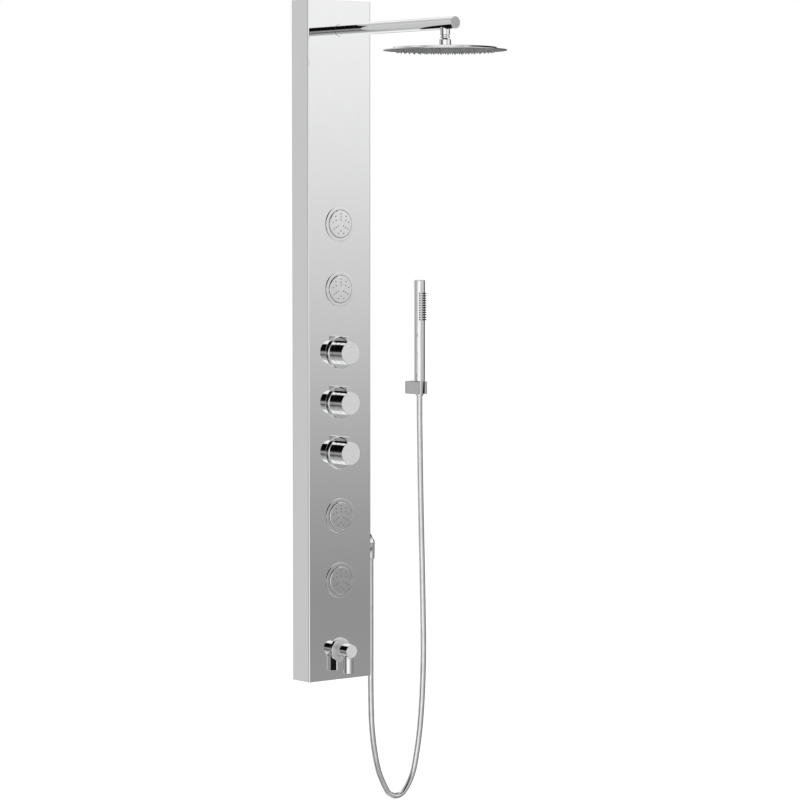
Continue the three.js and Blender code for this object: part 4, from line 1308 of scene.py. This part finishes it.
def build_manifold():
    outline = block((-MANIFOLD_HALF, MANIFOLD_HALF), (MANIFOLD_FRONT, MANIFOLD_BACK), 2)
    manifold = prism("mixing_block", outline, UP, MANIFOLD_BOTTOM, MANIFOLD_TOP)
    ports = [at(UP, OUTLET_X, PIPE_Y, z) for z in (MANIFOLD_TOP, MANIFOLD_BOTTOM)]
    ports += [at(RIGHT, -MANIFOLD_HALF, PIPE_Y, CONTROL_Z[1]), at(RIGHT, MANIFOLD_HALF, PIPE_Y, CONTROL_Z[2])]
    bosses = [(BOSS, -BOSS_LENGTH, BOSS_LENGTH, port) for port in ports]
    join(manifold, cutters("bosses", bosses, PLAIN))
    heights = [(CONTROL_Z[0] + CONTROL_Z[1]) / 2, (CONTROL_Z[1] + CONTROL_Z[2]) / 2]
    inlets = [at(OUT, 0, MANIFOLD_BACK, z) for z in heights]
    bores = [(INLET_BORE, -INLET_LENGTH - 1, INLET_DEPTH, inlet) for inlet in inlets]
    wells = [(SOCKET, -SOCKET_DEPTH, 1, at(OUT, 0, MANIFOLD_FRONT, z)) for z in CONTROL_Z]
    cut(manifold, cutters("wells", wells, PLAIN))
    soften(manifold, 0.8, 2, 50)
    nipple = [(0, -INLET_LENGTH), *threaded(INLET_RADIUS, -INLET_LENGTH, 1), (0, 1)]
    for number, inlet in enumerate(inlets):
        join(manifold, turned(f"nipple_{number}", nipple, inlet, PLAIN))
    cut(manifold, cutters("inlet_bores", bores, PLAIN))
    shade(manifold)
    settle(manifold, "column", "brass", "control_manifold")


def build_jet_feed():
    """One upright plastic pipe with a thicker tee at every branch."""
    heights = [middle(f"jet_{jet}_bezel").z for jet in JETS]
    upright = at(UP, FEED_X, PIPE_Y)
    ends = (heights[3] - 2 * FEED_RADIUS, heights[0] + 2 * FEED_RADIUS)
    feed = cutters("jet_feed", [(FEED_RADIUS, *ends, upright)], PLAIN)
    branches = [*heights, CONTROL_Z[1]]
    tees = [(TEE_RADIUS, z - TEE_HALF, z + TEE_HALF, upright) for z in branches]
    join(feed, cutters("tees", tees, PLAIN))
    to_jet = -FEED_X - BOSS_RADIUS - GAP
    to_manifold = -FEED_X - MANIFOLD_HALF - BOSS_LENGTH - GAP
    reaches = [to_jet] * len(heights) + [to_manifold]
    starts = [at(RIGHT, FEED_X, PIPE_Y, z) for z in branches]
    bars = [(BRANCH_RADIUS, 0, reach, start) for reach, start in zip(reaches, starts)]
    join(feed, cutters("branches", bars, PLAIN))
    sockets = [(BRANCH_RADIUS + SOCKET_WALL, 0, FEED_RADIUS + 7, start) for start in starts]
    join(feed, cutters("sockets", sockets, PLAIN))
    soften(feed, 0.6, 2, 50)
    settle(feed, "column", "white_plastic", "jet_feed_pipe")


def run(start, step):
    """Three points in a line, so that a pipe leaves its port straight."""
    return [tuple(value + count * move for value, move in zip(start, step)) for count in range(3)]


def build_pipe(name, node, route, sizes):
    """Braided tube with a crimped ferrule at each end."""
    radius, bore = sizes
    path = spline([Vector(point) * MM for point in route], 0.003)
    bm = bmesh.new()
    tube_into(bm, path, radius * MM, 36, bore * MM)
    settle(object_from(name, bm), "column", "braid", node)
    grips = bmesh.new()
    wall = radius + FERRULE_WALL
    sleeve = [
        (radius, 0), (wall, 0, 0.4), (wall, FERRULE_LENGTH * 0.4, 0.4),
        (wall - 0.6, FERRULE_LENGTH * 0.5, 0.4),
        (wall, FERRULE_LENGTH * 0.6, 0.4), (wall, FERRULE_LENGTH, 0.4), (radius, FERRULE_LENGTH),
    ]
    for here, following in ((route[0], route[1]), (route[-1], route[-2])):
        heading = (Vector(following) - Vector(here)).to_track_quat("Z", "Y").to_matrix().to_4x4()
        turn_into(grips, sleeve, Matrix.Translation(here) @ heading, PLAIN, loop=True)
    settle(object_from(f"{name}_ferrules", grips), "column", "chrome")


def build_pipes():
    build_pipe("riser_hose", "riser_tube", [
        *run((OUTLET_X, PIPE_Y, MANIFOLD_TOP + BOSS_LENGTH + GAP), (0, 0, 7)),
        (OUTLET_X + 8, PIPE_Y, MANIFOLD_TOP + 50), (RISER_X - 6, PIPE_Y, MANIFOLD_TOP + 95),
        (RISER_X, PIPE_Y, MANIFOLD_TOP + 140), (RISER_X, PIPE_Y, (MANIFOLD_TOP + ARM_Z) / 2),
        (RISER_X, PIPE_Y, ARM_Z - 90), (RISER_X - 2, PIPE_Y + 6, ARM_Z - 45),
        (RISER_X - 14, ARM_END + 22, ARM_Z - 16), (26, ARM_END + 28, ARM_Z - 2), (12, ARM_END + 26, ARM_Z),
        *reversed(run((0, ARM_END + GAP, ARM_Z), (0, 6, 0))),
    ], RISER)
    x = HAND_FEED_X
    build_pipe("hand_hose", "hand_feed_tube", [
        *run((MANIFOLD_HALF + BOSS_LENGTH + GAP, PIPE_Y, CONTROL_Z[2]), (4, 0, 0)),
        (x + 3, PIPE_Y + 3, CONTROL_Z[2] - 14), (x + 4, PIPE_Y + 5, CONTROL_Z[2] - 50),
        (x + 2, PIPE_Y + 5, (CONTROL_Z[2] + ELBOW.z) / 2), (x, ELBOW.y, ELBOW.z + 34),
        (x + 4, ELBOW.y, ELBOW.z + 8),
        *reversed(run((HALF - ELBOW_TAIL - GAP, ELBOW.y, ELBOW.z), (-5, 0, 0))),
    ], FEED)
    x, y = SPOUT_FEED_X, SPOUT_FEED_Y
    build_pipe("spout_hose", "spout_feed_tube", [
        *run((OUTLET_X, PIPE_Y, MANIFOLD_BOTTOM - BOSS_LENGTH - GAP), (0, 0, -6)),
        (x - 34, y + 3, MANIFOLD_BOTTOM - 60), (x - 6, y, MANIFOLD_BOTTOM - 90),
        (x, y, MANIFOLD_BOTTOM - 130), (x, y, (MANIFOLD_BOTTOM + SPOUT_Z) / 2),
        (x, y, SPOUT_Z + 105), (x - 8, y + 10, SPOUT_Z + 50),
        (x - 32, SPOUT_BACK + 26, SPOUT_Z + 12), (13, SPOUT_BACK + 30, SPOUT_Z),
        *reversed(run((0, SPOUT_BACK + GAP, SPOUT_Z), (0, 7, 0))),
    ], FEED)


build_manifold()
build_jet_feed()
build_pipes()

# ---------------------------------------------------------------- CAD nodes that stay

for cad_name in ("wall_bracket_upper", "wall_bracket_lower", "hanger_rail_upper", "hanger_rail_lower"):
    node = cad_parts[cad_name]
    node.data.materials.clear()
    node.data.materials.append(MATERIALS["galvanised"])
    edge = node.modifiers.new("broken_edge", "BEVEL")
    edge.width = 0.4 * MM
    edge.segments = 2
    edge.limit_method = "ANGLE"
    edge.angle_limit = math.radians(40)
